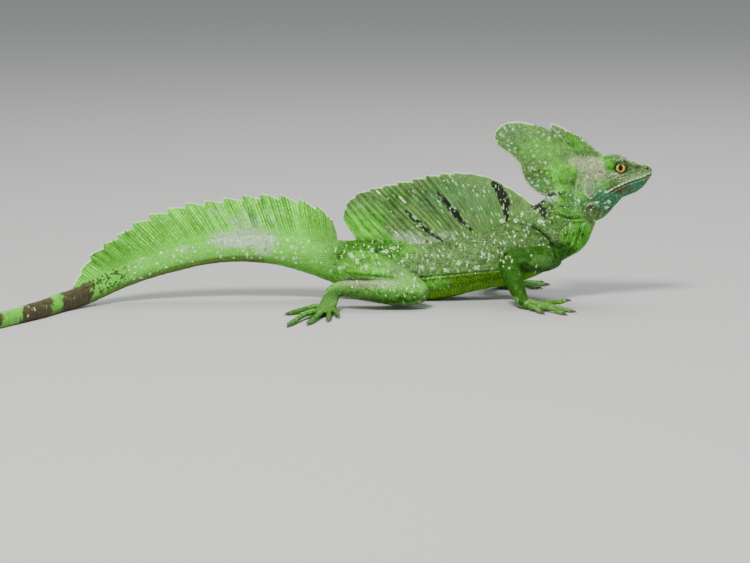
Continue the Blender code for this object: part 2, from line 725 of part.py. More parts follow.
def sail_halves(ridge, height, root_half):
    """Half thicknesses of one column from its root to its rim."""
    made = []
    slim = min(height / (LOW_SAIL * MM), 1.0)
    for row in range(SAIL_ROWS):
        share = row / (SAIL_ROWS - 1)
        web = root_half + (SAIL_RIM_HALF - root_half) * share ** 0.6
        made.append((web + RAY_RIDGE * ridge * slim * (1 - 0.75 * share)) * MM)
    return made


def back_line(share):
    """Root, rim and side direction of the back's sail at a share of its table."""
    root_x, root_z, rim_x, rim_z = curve_rows(BACK_SAIL, share * (len(BACK_SAIL) - 1))
    root = Vector((root_x, 0.0, root_z - BACK_ROOT_SINK)) * MM
    return root, Vector((rim_x, 0.0, rim_z)) * MM, Vector((0.0, 1.0, 0.0))


def tail_line(share):
    """The same for the tail's sail, which leans back from the spine."""
    distance, height, lean = curve_rows(TAIL_SAIL, (1 - share) * (len(TAIL_SAIL) - 1))
    rows = [(0.0,)] + [(row[0],) for row in TAIL]
    place = HIPS + place_of(rows, distance)
    centre, side, up, half_height, _ = section(place)
    ahead = section(place - 0.02)[0] - section(place + 0.02)[0]
    ahead = (ahead - up * ahead.dot(up)).normalized()
    angle = math.radians(lean)
    top = centre + up * half_height
    direction = up * math.cos(angle) - ahead * math.sin(angle)
    reach = max(height / math.cos(angle), 1.0) * MM
    return top - direction * (TAIL_ROOT_SINK * MM), top + direction * reach, side


def make_crest(name, table, finish):
    """A smooth-rimmed crest of the head, thick at its root."""
    roots, rims, outs, halves = [], [], [], []
    for root_x, root_z, rim_x, rim_z in table:
        root = Vector((root_x, 0.0, root_z)) * MM
        rim = Vector((rim_x, 0.0, rim_z)) * MM
        roots.append(root)
        rims.append(rim)
        outs.append(Vector((0.0, 1.0, 0.0)))
        column = []
        for row in range(CREST_ROWS):
            share = row / (CREST_ROWS - 1)
            half = CREST_ROOT_HALF + (CREST_RIM_HALF - CREST_ROOT_HALF) * share ** 0.8
            column.append(half * MM)
        halves.append(column)
    return vane(name, roots, rims, outs, halves, finish)


def make_foot(name, sole, toes, radius, finish):
    """A hand or foot: its sole and five toes joined into one body."""
    path = smooth_path(sole, 2)
    foot = loft(name, swept_rings(path, 10, (0.0, 0.0, 1.0)), finish)
    digits = [toe("toe", row, radius) for row in toes]
    return apply_boolean(foot, "UNION", digits)


def make_body(skin, belly):
    """Head, neck, trunk and the lengths of the tail, each cut clear of the next."""
    head = make_head(skin)
    neck = body_length("neck", 0.0, SHOULDERS, NECK_RINGS, BODY_SIDES, skin)
    trunk = body_length("trunk", SHOULDERS + TRUNK_SLIT, HIPS, TRUNK_RINGS, BODY_SIDES, belly)
    tail = []
    start = HIPS
    for name, sections, slit in TAIL_LENGTHS:
        rings = int(sections * TAIL_RINGS_PER_SECTION) + 1
        end = start + sections
        tail.append(body_length(name, start + slit, end, rings, TAIL_SIDES, skin))
        start = end
    return head, neck, trunk, tail


def make_limbs(trunk, neck, skin):
    """The four limbs, each in three lengths."""
    sides = {
        "right": ((UPPER_ARM_RIGHT, FOREARM_RIGHT, PALM_RIGHT, FINGERS_RIGHT),
                  (THIGH_RIGHT, SHANK_RIGHT, SOLE_RIGHT, TOES_RIGHT)),
        "left": ((UPPER_ARM_LEFT, FOREARM_LEFT, PALM_LEFT, FINGERS_LEFT),
                 (THIGH_LEFT, SHANK_LEFT, SOLE_LEFT, TOES_LEFT)),
    }
    for side, (front, hind) in sides.items():
        arm = trim(limb("upper_arm_" + side, front[0], skin), trunk, neck)
        forearm = trim(limb("forearm_" + side, front[1], skin), arm, trunk)
        trim(make_foot("hand_" + side, front[2], front[3], FINGER_RADIUS, skin), forearm)
        thigh = trim(limb("thigh_" + side, hind[0], skin), trunk, bpy.data.objects["tail_base"])
        shank = trim(limb("shank_" + side, hind[1], skin), thigh, trunk)
        trim(make_foot("foot_" + side, hind[2], hind[3], TOE_RADIUS, skin), shank)


def centre_on_ground():
    """Moves every mesh so that the box of the whole stands centred on the origin."""
    things = [thing for thing in bpy.data.objects if thing.type == "MESH"]
    points = [vert.co for thing in things for vert in thing.data.vertices]
    low = Vector(min(point[axis] for point in points) for axis in range(3))
    high = Vector(max(point[axis] for point in points) for axis in range(3))
    shift = Vector((-(low.x + high.x) / 2, -(low.y + high.y) / 2, -low.z))
    for thing in things:
        for vert in thing.data.vertices:
            vert.co += shift


def main():
    clear_scene()
    skin = material("skin", GREEN, 0.55)
    belly = material("trunk_skin", SAGE, 0.55)
    membrane = material("membrane", LIME, 0.5)
    iris = material("iris", AMBER, 0.15)
    head, neck, trunk, tail = make_body(skin, belly)
    make_eye("eye_right", -1, iris)
    make_eye("eye_left", 1, iris)
    casque = trim(make_crest("casque", CASQUE, membrane), head, neck)
    trim(make_crest("brow_lobe", BROW_LOBE, membrane), head, casque)
    back = make_sail("back_sail", BACK_RAYS, BACK_TOOTH, back_line, BACK_ROOT_HALF, membrane, EVEN_FROM)
    trim(back, trunk, neck)
    rear = make_sail("tail_sail", TAIL_RAYS, TAIL_TOOTH, tail_line, TAIL_ROOT_HALF, membrane)
    trim(rear, trunk, *tail[:3])
    make_limbs(trunk, neck, skin)
    trim(neck, head)
    centre_on_ground()


main()
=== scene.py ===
import math

import bmesh
import bpy
import numpy as np
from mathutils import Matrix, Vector
from mathutils.bvhtree import BVHTree
from mathutils.kdtree import KDTree


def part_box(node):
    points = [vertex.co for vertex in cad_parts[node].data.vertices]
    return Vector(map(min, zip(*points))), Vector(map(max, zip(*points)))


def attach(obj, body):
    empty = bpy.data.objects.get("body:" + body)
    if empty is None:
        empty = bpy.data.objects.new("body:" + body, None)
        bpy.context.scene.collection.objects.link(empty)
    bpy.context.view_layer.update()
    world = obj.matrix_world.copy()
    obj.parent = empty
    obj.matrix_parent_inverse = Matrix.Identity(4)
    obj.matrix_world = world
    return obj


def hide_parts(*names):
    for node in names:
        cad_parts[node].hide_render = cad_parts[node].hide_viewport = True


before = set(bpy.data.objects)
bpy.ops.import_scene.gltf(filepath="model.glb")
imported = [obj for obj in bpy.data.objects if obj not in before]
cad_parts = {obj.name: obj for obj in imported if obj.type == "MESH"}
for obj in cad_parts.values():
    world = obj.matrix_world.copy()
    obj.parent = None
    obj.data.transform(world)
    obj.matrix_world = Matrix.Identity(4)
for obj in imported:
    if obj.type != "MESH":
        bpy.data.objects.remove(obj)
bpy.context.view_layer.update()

mm = 0.001

# Lengths below are millimetres of the animal: +X to the snout, +Y to its left, the ground at 0.
photo = {
    "mmPerPixel": 0.62,
    "originX": 345.0,        # pixel column of x = 0
    "groundY": 299.0,        # pixel row of the ground under the belly
    "elevation": 9.0,        # degrees the camera looks down
}
eye = {
    "centre": (169.2, 6.4, 82.5),
    "radius": 3.5,
    "opening": 2.85,
    "lidRadius": 3.60,
    "long": 1.20,            # the opening's length and height as shares of its size
    "tall": 0.92,
    "corners": 1.72,         # 2 is an oval opening, less has pointed corners
    "slant": 0.10,
    "gaze": (-0.04, 1.0, 0.14),
    "pupilAngle": 28.0,
    "irisAngle": 68.0,
}

eyeLow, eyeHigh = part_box("eye_right")
shift = (np.array(eyeLow) + np.array(eyeHigh)) / 2 - np.array(eye["centre"]) * (mm, -mm, mm)

spine = {
    # back point x, z, belly point x, z, half width, from the nape to the hips
    "trunk": [
        (142.6, 83, 159, 63.5, 8), (131.5, 72, 157, 54, 8.6),
        (123.5, 63, 153.2, 42.4, 9.2), (115.5, 57.5, 147.4, 31.8, 10.6),
        (108, 53, 133.8, 23.4, 12.6), (99.2, 48.4, 119.7, 15, 14.2),
        (88, 44, 102.3, 9.4, 15.4), (74.4, 40.4, 81.8, 5.2, 16.4),
        (58.9, 37.9, 62, 0.6, 17.2), (43.4, 37.2, 42.2, -1.5, 17.2),
        (26.7, 37.2, 22.9, -1.2, 15.8), (10.5, 36.8, 4.3, 5, 13.2),
        (-4.3, 36.8, -10.5, 11.2, 10.6),
    ],
    # distance along the tail, centre height, half height, half width, swing in degrees
    "tail": [
        (16, 27.2, 10.9, 8.6, 0), (35, 30.2, 9, 7, 0), (56, 31, 7.9, 5.9, 1),
        (77, 29.2, 7.3, 5.2, 4), (98, 24.9, 7.1, 4.7, 9), (119, 19.8, 7, 4.4, 18),
        (139, 14, 6.8, 4.1, 32), (160, 7.9, 6.5, 3.9, 48), (185, 5.7, 6.1, 3.7, 62),
        (220, 4.9, 5.4, 3.4, 66), (290, 3.7, 4.1, 2.8, 44), (360, 2.6, 3, 2.2, 8),
        (430, 1.4, 1.8, 1.5, -22), (480, 0.7, 0.9, 0.8, -40),
    ],
    "tailStart": (-7.4, 23.9),
    "power": 2.15,
    "pinch": 0.20,
    "inset": 0.22,           # how far the skin lies inside the solid, for its scales
}
head = {
    # x, crown z, mouth z, chin z, half widths at the brow, cheek, lips and jaw
    "rows": [
        (189, 81, 78.5, 77.1, 1.5, 1.9, 2, 1.2), (187.2, 82.4, 77.7, 74.8, 2.8, 3.3, 3.5, 2.3),
        (184.1, 83.6, 76.3, 70.8, 3.9, 4.6, 5.2, 3.8), (179.8, 84.4, 75, 67.3, 5, 5.7, 6.5, 5),
        (175.5, 86.4, 73.8, 65.4, 6.8, 6.8, 7.8, 6), (171.1, 88.7, 72.2, 63.6, 8, 8, 8.9, 6.8),
        (166.2, 89.7, 69.9, 58.4, 8.5, 9.4, 10, 7.5), (161.2, 89.5, 67.1, 52.6, 8.5, 10.9, 11, 8),
        (155.6, 88.6, 63.9, 49, 8.2, 11.8, 11.5, 8), (150, 87, 62.2, 48.8, 7.6, 11.6, 10.8, 7.4),
        (144.5, 84.4, 62.8, 52.6, 6.2, 9.8, 9, 6), (140.7, 80.4, 64.4, 58.6, 4, 6.4, 6, 4),
    ],
    "mouthCorner": 160.5,
    "brow": [(163, 7, 87.2, 1.5, 1.1), (168.5, 8.2, 87.3, 1.9, 1.5), (173, 7.4, 86, 1.7, 1.3),
             (177, 6.2, 83.9, 1.3, 1), (181, 4.9, 82.6, 0.9, 0.8)],
    "jawMuscle": ((140.5, 3.4, 78.5), (9.5, 3.7, 9.5)),
    "nostril": (186.2, 81.4),
    "ear": (149.4, 71.2, 3.2, 5.0),      # x, z, half length, half height
}
limbs = {
    "right": {
        "upperArm": [(129, -5, 27, 7), (122, -13, 27, 8.2), (112, -20.5, 27.6, 7.8),
                     (102.5, -25.8, 28.6, 6.4), (98.6, -27.6, 28.6, 4.6)],
        "forearm": [(98.6, -26.6, 29.6, 5), (100.4, -29, 24, 6.2), (103, -32.2, 16.5, 5.8),
                    (106, -35.6, 9.4, 4.6), (108.2, -37.6, 5.4, 3.9), (110.6, -38.8, 3.8, 3.2)],
        "palm": [(106.6, -36.6, 6, 3.9, 3.4), (111, -39, 3.6, 4.8, 3),
                 (117, -42, 2.4, 5.6, 2.5), (121, -43.6, 2, 3.6, 1.8)],
        "fingers": [(113, -36.6, 14, 14, 12, 0), (116.6, -38.8, 18, -2, 12, 4),
                    (118.6, -42.4, 20.5, -26, -4, 0), (117.8, -45, 21.5, -44, -12, 0),
                    (113, -44.8, 14, -72, 14, 0)],
        "thigh": [(2, -4, 24, 9), (13, -13, 22.4, 9.8), (27, -23.6, 17.6, 9.6),
                  (39, -33, 12.6, 8.4), (45.6, -37.6, 9.8, 7), (49.4, -39.6, 8.8, 4.4)],
        "shank": [(47, -38.6, 9.4, 5.6), (39, -40, 9.8, 7.2), (26, -41.2, 10.8, 7.2),
                  (12, -41.4, 12, 6), (1, -40.6, 12.8, 5), (-5, -40.4, 12, 4.5),
                  (-8.6, -41.6, 10.2, 3.8)],
        "sole": [(-6.4, -38.6, 11.6, 4.4, 4), (-8.2, -45.6, 7.6, 5, 3.4), (-10.4, -53.6, 3.8, 5.6, 2.8),
                 (-12.2, -60, 2.4, 5.2, 2.2), (-13, -63, 1.9, 3.2, 1.6)],
        "toes": [(-7.6, -56.6, 15, -66, -16, 0), (-9.6, -60, 24, -84, -10, 0),
                 (-12.6, -61.6, 35, -98, -10, 0), (-15.6, -60, 45, -116, 10, 0),
                 (-11.4, -46, 27, -150, 14, 0)],
    },
    "left": {
        "upperArm": [(127, 5, 27, 7), (120, 13, 27, 8.2), (109, 20.5, 27.4, 7.8),
                     (98, 26, 28, 6.4), (94, 27.8, 27.8, 4.6)],
        "forearm": [(94, 26.8, 28.8, 5), (93.4, 29.6, 23, 6.2), (92.8, 33.4, 15.6, 5.8),
                    (92.8, 37, 8.8, 4.6), (94, 38.8, 5.2, 3.9), (96.4, 39.8, 3.8, 3.2)],
        "palm": [(92.6, 38, 6, 3.9, 3.4), (97, 40.4, 3.6, 4.8, 3),
                 (103, 43.4, 2.4, 5.6, 2.5), (107, 45, 2, 3.6, 1.8)],
        "fingers": [(99, 38, 13, -30, -10, 0), (103.4, 40.4, 18, -8, -8, 0),
                    (105.6, 43.8, 22, 12, 6, 0), (104.6, 46.4, 23, 26, 10, 0),
                    (99.4, 46, 16, 60, -12, 0)],
        "thigh": [(2, 4, 24, 9), (13, 14, 22.4, 9.8), (25, 25, 18.4, 9.6),
                  (36, 34.6, 14.2, 8.4), (42, 39.6, 11.6, 7), (45.6, 42, 10.6, 4.4)],
        "shank": [(43.4, 41.2, 11, 5.6), (36, 44, 10.4, 7.2), (24, 46.4, 9.6, 7.2),
                  (11, 47.2, 8.8, 6), (1, 47, 7.8, 5), (-3.6, 47.2, 6.4, 4.2),
                  (-5.4, 48.4, 5.2, 3.4)],
        "sole": [(-5, 46.6, 6.6, 3.6, 4), (0.6, 51, 4.6, 4.8, 3.2), (8.4, 55.6, 2.8, 5.6, 2.6),
                 (14.4, 58.8, 2.2, 5, 2.1), (17, 60.2, 1.9, 3, 1.6)],
        "toes": [(10, 51.6, 14, 4, -12, 0), (14.4, 54.8, 22, 14, -8, 0),
                 (16.4, 58, 32, 22, 10, 0), (14.6, 61, 42, 34, 12, 0),
                 (2.6, 55, 25, 78, -16, 0)],
    },
}
digit = {"fingerRadius": 1.65, "toeRadius": 1.85, "claw": 3.8}
sails = {
    # root point x, z and rim point x, z, from the rear of the sail to its front
    "back": [
        (9.5, 34, -1.5, 50.5), (20, 34.5, 0.5, 58), (34, 34.8, 5, 64),
        (48, 34.8, 13.5, 68), (61, 34.5, 24, 70.5), (72, 36, 40, 74),
        (82, 38.5, 52, 76.8), (90, 41.5, 70, 78.8), (96, 43.5, 87, 76.4),
        (103, 46.5, 99, 70.8), (110.5, 50, 109, 64.5), (116, 53.5, 116, 58.8),
    ],
    # distance along the tail, height above it, lean backwards in degrees
    "tail": [
        (0.5, 1.6, 4), (3, 9, 8), (8, 17.6, 18), (18, 22.4, 22), (35, 24.2, 25),
        (56, 22.6, 29), (77, 23, 32), (98, 21.6, 34), (119, 16.8, 37),
        (139, 13.4, 40), (158, 7, 42), (171, 1.6, 42),
    ],
    "backTeeth": 15, "tailTeeth": 17, "backLanes": 5, "tailLanes": 6,
    "backTooth": 1.7, "tailTooth": 3.2,
    "rootHalf": 1.25, "rimHalf": 0.32, "ray": 0.30, "rimWidth": 0.72,
    "pleat": 0.38, "pleatedTeeth": 8.0,    # the rear of the back's sail is pleated
    "evenTeeth": 9.5,                      # in front of this tooth the back's rim is nearly even
    "ridgeHeight": 4.6, "ridgeRoot": 2.7, "ridgeTop": 0.50,
}
crests = {
    "casque": [
        (150.5, 84, 143.8, 88.6), (149.5, 82, 134.5, 98.2), (148.5, 80.5, 125.5, 104.8),
        (147, 79, 115.5, 108.8), (146, 77.5, 106, 110.4), (145, 76, 97.6, 109),
        (144, 74.8, 92.6, 104.4), (143, 73.6, 91.8, 99.4), (142, 72.4, 95.4, 94.2),
        (141, 71.2, 102.4, 89.4), (140, 70, 107.4, 83.6), (139, 68.8, 109.6, 76.8),
        (138, 67.6, 112.4, 71.6), (137, 66.6, 117.2, 67.4), (137, 65.6, 123, 64.6),
        (138, 64.6, 129, 63.4),
    ],
    "browLobe": [
        (145.5, 85, 144.2, 90.2), (149, 85.6, 133.6, 99.8), (151, 86, 125.8, 106.4),
        (152.5, 86.2, 127.8, 109.2), (154, 86.4, 136.4, 105.6), (156, 86.6, 144.2, 101.6),
        (157.5, 86.8, 149.4, 97.8), (159.5, 87, 155.2, 92.6), (161, 87.2, 160, 89.6),
    ],
    "rootHalf": 3, "rimHalf": 0.55,
}


def asRows(*columns):
    return np.stack(columns, axis=1)


def unit(vectors):
    return vectors / np.maximum(np.linalg.norm(vectors, axis=-1, keepdims=True), 1e-9)


def smoothRows(rows, places):    # the table's rows at fractional indices, on a smooth curve
    rows = np.asarray(rows, float)
    last = len(rows) - 1
    places = np.clip(np.asarray(places, float), 0, last)
    index = np.minimum(places.astype(int), last - 1)
    t = (places - index)[:, None]
    a, b = rows[np.maximum(index - 1, 0)], rows[index]
    c, d = rows[index + 1], rows[np.minimum(index + 2, last)]
    return 0.5 * (2 * b + (c - a) * t + (2 * a - 5 * b + 4 * c - d) * t * t + (3 * b - a - 3 * c + d) *
                  t ** 3)


def smoothPath(rows, steps):
    return smoothRows(rows, np.linspace(0, len(rows) - 1, (len(rows) - 1) * steps + 1))


def smoothStep(low, high, value):
    t = np.clip((value - low) / (high - low), 0, 1)
    return t * t * (3 - 2 * t)


def hump(value, centre, width):    # 1 at the centre, falling softly to 0
    return np.exp(-((value - centre) / width) ** 2)


def lengthAlong(points):    # distance from the first point to each point, along their line
    return np.concatenate([[0], np.cumsum(np.linalg.norm(np.diff(points, axis=0), axis=1))])


def evenPath(rows, pitch, steps=12):    # rows a pitch apart along the curve through the first three columns
    fine = smoothPath(rows, steps)
    along = lengthAlong(fine[:, :3])
    count = max(int(round(along[-1] / pitch)), 2)
    wanted = np.linspace(0, along[-1], count + 1)
    return np.stack([np.interp(wanted, along, fine[:, k]) for k in range(fine.shape[1])], axis=1)


def spineTable():
    made = []
    for backX, backZ, bellyX, bellyZ, halfWidth in spine["trunk"]:
        half = math.hypot(backX - bellyX, backZ - bellyZ) / 2
        made.append(((backX + bellyX) / 2, 0.0, (backZ + bellyZ) / 2, (backX - bellyX) / (2 * half), 0.0,
                     (backZ - bellyZ) / (2 * half), half, halfWidth, 0.0))
    x, z = spine["tailStart"]
    y, along, turn = 0.0, 0.0, 0.0
    for distance, height, halfHeight, halfWidth, swing in spine["tail"]:
        run = math.sqrt(max((distance - along) ** 2 - (height - z) ** 2, 0.0))
        middle = math.radians((turn + swing) / 2)
        x -= run * math.cos(middle)
        y -= run * math.sin(middle)
        lean = math.asin((height - z) / (distance - along)) * 0.8
        heading = math.radians(swing)
        made.append((x, y, height, math.sin(lean) * math.cos(heading), math.sin(lean) * math.sin(heading),
                     math.cos(lean), halfHeight, halfWidth, heading))
        along, turn, z = distance, swing, height
    return np.array(made)


spineRows = spineTable()
hips = len(spine["trunk"]) - 1
tailDistances = np.array([0.0] + [row[0] for row in spine["tail"]])


def sections(places):
    rows = smoothRows(spineRows, places)
    up = unit(rows[:, 3:6])
    side = asRows(-np.sin(rows[:, 8]), np.cos(rows[:, 8]), np.zeros(len(rows)))
    side = unit(side - up * np.sum(side * up, axis=1, keepdims=True))
    return rows[:, :3], side, up, rows[:, 6], rows[:, 7]


def ringAngles(sides):
    return 2 * math.pi * (np.arange(sides) + 0.5) / sides


def crossSection(angles):    # how far across and up the body's outline is at each angle, from -1 to 1
    cosine, sine = np.cos(angles), np.sin(angles)
    narrowed = 1 - spine["pinch"] * np.maximum(sine, 0)
    across = np.sign(cosine) * np.abs(cosine) ** (2 / spine["power"]) * narrowed
    return across, np.sign(sine) * np.abs(sine) ** (2 / spine["power"])


def bodyRings(places, sides):
    centre, side, up, halfHeight, halfWidth = sections(places)
    across, rise = crossSection(ringAngles(sides))
    wide = np.maximum(halfWidth - spine["inset"], 0.3)[:, None]
    tall = np.maximum(halfHeight - spine["inset"], 0.3)[:, None]
    points = (centre[:, None] + side[:, None] * (across * wide)[..., None] + up[:, None] *
              (rise * tall)[..., None])
    points[..., 2] = np.maximum(points[..., 2], spine["inset"])
    return points


def evenPlaces(start, end, pitch):    # places on the spine a pitch apart
    fine = np.linspace(start, end, 900)
    along = lengthAlong(sections(fine)[0])
    wanted = np.linspace(0, along[-1], max(int(along[-1] / pitch), 2) + 1)
    return np.interp(wanted, along, fine)


def sweepRings(path, sides, flatAxis=None):
    path = np.asarray(path, float)
    ahead = unit(np.gradient(path[:, :3], axis=0))
    angles = ringAngles(sides)
    rings, side = [], None
    for row, forward in zip(path, ahead):
        if flatAxis is not None:
            side = unit(np.cross(forward, flatAxis))
        elif side is None:
            side = unit(np.cross(forward, (0.0, 0.0, 1.0)))
        else:
            side = unit(side - forward * side.dot(forward))
        up = unit(np.cross(side, forward))
        ring = row[:3] + np.outer(np.cos(angles) * row[3], side) + np.outer(np.sin(angles) * row[4], up)
        ring[:, 2] = np.maximum(ring[:, 2], spine["inset"])
        rings.append(ring)
    return np.array(rings)


def headRings(rows, sides):
    rings = []
    for x, crown, mouth, chin, browW, cheekW, lipW, jawW in rows:
        tall, deep = crown - mouth, mouth - chin
        half = [(0.0, crown), (browW * 0.55, crown - tall * 0.03), (browW, crown - tall * 0.15),
                (browW * 0.45 + cheekW * 0.53, crown - tall * 0.42), (cheekW, crown - tall * 0.70),
                (lipW, mouth + 0.5), (lipW * 0.99, mouth - 0.5), ((lipW + jawW) * 0.48, mouth - deep * 0.52),
                (jawW * 0.92, chin + deep * 0.16), (jawW * 0.45, chin + deep * 0.03), (0.0, chin)]
        loop = np.array(half + [(-y, z) for y, z in reversed(half[1:-1])])
        loop = np.concatenate([loop[-1:], loop, loop[:3]])
        fine = smoothRows(loop, np.linspace(1, len(loop) - 3, sides, endpoint=False))
        rings.append(asRows(np.full(sides, x), fine[:, 0], fine[:, 1]))
    return np.array(rings)


def loft(rings):    # a closed body through the rings: its points, quads and the triangles of both ends
    rows, sides = rings.shape[:2]
    verts = np.concatenate([rings.reshape(-1, 3), rings[0].mean(axis=0)[None], rings[-1].mean(axis=0)[None]])
    index = np.arange(rows * sides).reshape(rows, sides)
    after = np.roll(index, -1, axis=1)
    quads = np.stack([index[:-1], after[:-1], after[1:], index[1:]], axis=-1).reshape(-1, 4)
    first = np.stack([after[0], index[0], np.full(sides, rows * sides)], axis=-1)
    last = np.stack([index[-1], after[-1], np.full(sides, rows * sides + 1)], axis=-1)
    return verts, quads, np.concatenate([first, last])


def vane(left, right):    # a closed thin sheet between two like grids of points
    columns, rows = left.shape[:2]
    count = columns * rows
    index = np.arange(count).reshape(columns, rows)
    face = np.stack([index[:-1, :-1], index[1:, :-1], index[1:, 1:], index[:-1, 1:]], axis=-1).reshape(-1, 4)
    border = np.concatenate([index[:, 0], index[-1, 1:], index[-2::-1, -1], index[0, -2:0:-1]])
    following = np.roll(border, -1)
    rim = np.stack([border, following, following + count, border + count], axis=-1)
    quads = np.concatenate([face, face[:, ::-1] + count, rim[:, ::-1]])
    return np.concatenate([left.reshape(-1, 3), right.reshape(-1, 3)]), quads


def ellipsoid(centre, radii, sides=28, rows=16):
    polar = np.linspace(0.02, math.pi - 0.02, rows)
    angles = 2 * math.pi * np.arange(sides) / sides
    rings = np.stack([np.outer(np.cos(polar), np.ones(sides)), np.outer(np.sin(polar), np.cos(angles)),
                      np.outer(np.sin(polar), np.sin(angles))], axis=-1)
    return rings * radii + centre


def buildObject(name, verts, faceSets):
    mesh = bpy.data.meshes.new(name)
    points = np.asarray(verts, float) * mm + shift
    mesh.vertices.add(len(points))
    mesh.vertices.foreach_set("co", points.ravel())
    loops = np.concatenate([np.asarray(faces).ravel() for faces in faceSets]).astype(np.int32)
    sizes = np.concatenate([np.full(len(faces), np.asarray(faces).shape[1]) for faces in faceSets])
    starts = np.concatenate([[0], np.cumsum(sizes)[:-1]]).astype(np.int32)
    mesh.loops.add(len(loops))
    mesh.polygons.add(len(sizes))
    mesh.polygons.foreach_set("loop_start", starts)
    mesh.loops.foreach_set("vertex_index", loops)
    mesh.update(calc_edges=True)
    mesh.polygons.foreach_set("use_smooth", np.full(len(sizes), True))
    made = bpy.data.objects.new(name, mesh)
    bpy.context.scene.collection.objects.link(made)
    return made


def picked(keep, *lists):
    return [part[keep] for part in lists]


def animalPoints(mesh):    # the mesh's points in the animal's millimetres
    flat = np.empty(len(mesh.vertices) * 3)
    mesh.vertices.foreach_get("co", flat)
    return (flat.reshape(-1, 3) - shift) / mm


def setPoints(mesh, points):
    mesh.vertices.foreach_set("co", (points * mm + shift).ravel())
    mesh.update()


def meshNormals(mesh):
    flat = np.empty(len(mesh.vertices) * 3)
    mesh.vertex_normals.foreach_get("vector", flat)
    return flat.reshape(-1, 3)


def randomOf(cells, seed):    # a repeatable number from 0 to 1 for each row of whole numbers
    mixed = np.full(len(cells), seed * 7919 + 17, dtype=np.int64)
    for column, prime in zip(cells.T, (73856093, 19349663, 83492791)):
        mixed = (mixed ^ (column.astype(np.int64) * prime)) & 0x7FFFFFFF
        mixed = (mixed * 1103515245 + 12345) & 0x7FFFFFFF
    return ((mixed >> 8) % 100003) / 100003.0


def valueNoise(points, size, seed):    # soft noise from 0 to 1 whose lumps are size across
    scaled = np.asarray(points) / size
    cell = np.floor(scaled).astype(np.int64)
    part = scaled - cell
    part = part * part * (3 - 2 * part)
    total = np.zeros(len(scaled))
    for corner in np.ndindex(*(2,) * scaled.shape[1]):
        weight = np.prod(np.where(corner, part, 1 - part), axis=1)
        total += weight * randomOf(cell + corner, seed)
    return total


def photoPlane(points):    # pixel column and row of each point, as if it were on the photo's side
    sine, cosine = math.sin(math.radians(photo["elevation"])), math.cos(math.radians(photo["elevation"]))
    raised = points[:, 2] * cosine - np.abs(points[:, 1]) * sine
    return (photo["originX"] + points[:, 0] / photo["mmPerPixel"], photo["groundY"] - raised /
            photo["mmPerPixel"])


# distance in pixels to a line through points, and the place along it
def lineDistance(column, row, points):
    best = np.full(len(column), 1e9)
    place = np.zeros(len(column))
    for index, (start, end) in enumerate(zip(points, points[1:])):
        run = np.array(end, float) - start
        t = np.clip(((column - start[0]) * run[0] + (row - start[1]) * run[1]) / run.dot(run), 0, 1)
        gap = np.hypot(column - start[0] - t * run[0], row - start[1] - t * run[1])
        nearer = gap < best
        best = np.where(nearer, gap, best)
        place = np.where(nearer, (index + t) / (len(points) - 1), place)
    return best, place


def nearest(points, samples):    # index of the closest sample to each point, and how far it is
    found = np.empty(len(points), int)
    gaps = np.empty(len(points))
    for start in range(0, len(points), 20000):
        block = points[start:start + 20000]
        square = np.sum(block ** 2, axis=1)[:, None] - 2 * block @ samples.T + np.sum(samples ** 2, axis=1)
        found[start:start + 20000] = np.argmin(square, axis=1)
        gaps[start:start + 20000] = np.sqrt(np.maximum(np.min(square, axis=1), 0))
    return found, gaps


# Where each point is on the body
spineSamples = np.linspace(0, len(spineRows) - 1, 520)
spineCentre, spineSide, spineUp, spineTall, spineWide = sections(spineSamples)
limbSamples = []
for side in limbs.values():
    for name in ("upperArm", "forearm", "palm", "thigh", "shank", "sole"):
        path = smoothPath(side[name], 8)
        for row in path[4 if name in ("upperArm", "thigh") else 0:]:
            limbSamples.append((*row[:3], row[3], float(name in ("palm", "sole"))))
    for name in ("fingers", "toes"):
        for x, y, length, heading, bend, lift in side[name]:
            for share in np.linspace(0.1, 1.1, 8):
                angle = math.radians(heading + bend * share / 2)
                limbSamples.append((x + math.cos(angle) * length * share, y + math.sin(angle) * length *
                                    share,
                                    1.6, 1.8, 1.0))
limbSamples = np.array(limbSamples)


def whereOnBody(points):
    found, gap = nearest(points, spineCentre)
    offset = points - spineCentre[found]
    rise = np.sum(offset * spineUp[found], axis=1) / spineTall[found]
    wide = np.abs(np.sum(offset * spineSide[found], axis=1)) / spineWide[found]
    place = spineSamples[found]
    distance = np.interp(place - hips, np.arange(len(tailDistances)), tailDistances) * (place > hips)
    foundLimb, gapLimb = nearest(points, limbSamples[:, :3])
    limbShare = gapLimb / limbSamples[foundLimb, 3]
    bodyShare = np.maximum(np.abs(rise), wide)
    onLimb = smoothStep(-0.12, 0.12, bodyShare - limbShare) * (limbShare < 1.6)
    return {"place": place, "distance": distance, "rise": rise, "wide": wide, "limb": onLimb,
            "over": (rise - 1) * spineTall[found], "paw": onLimb * limbSamples[foundLimb, 4]}


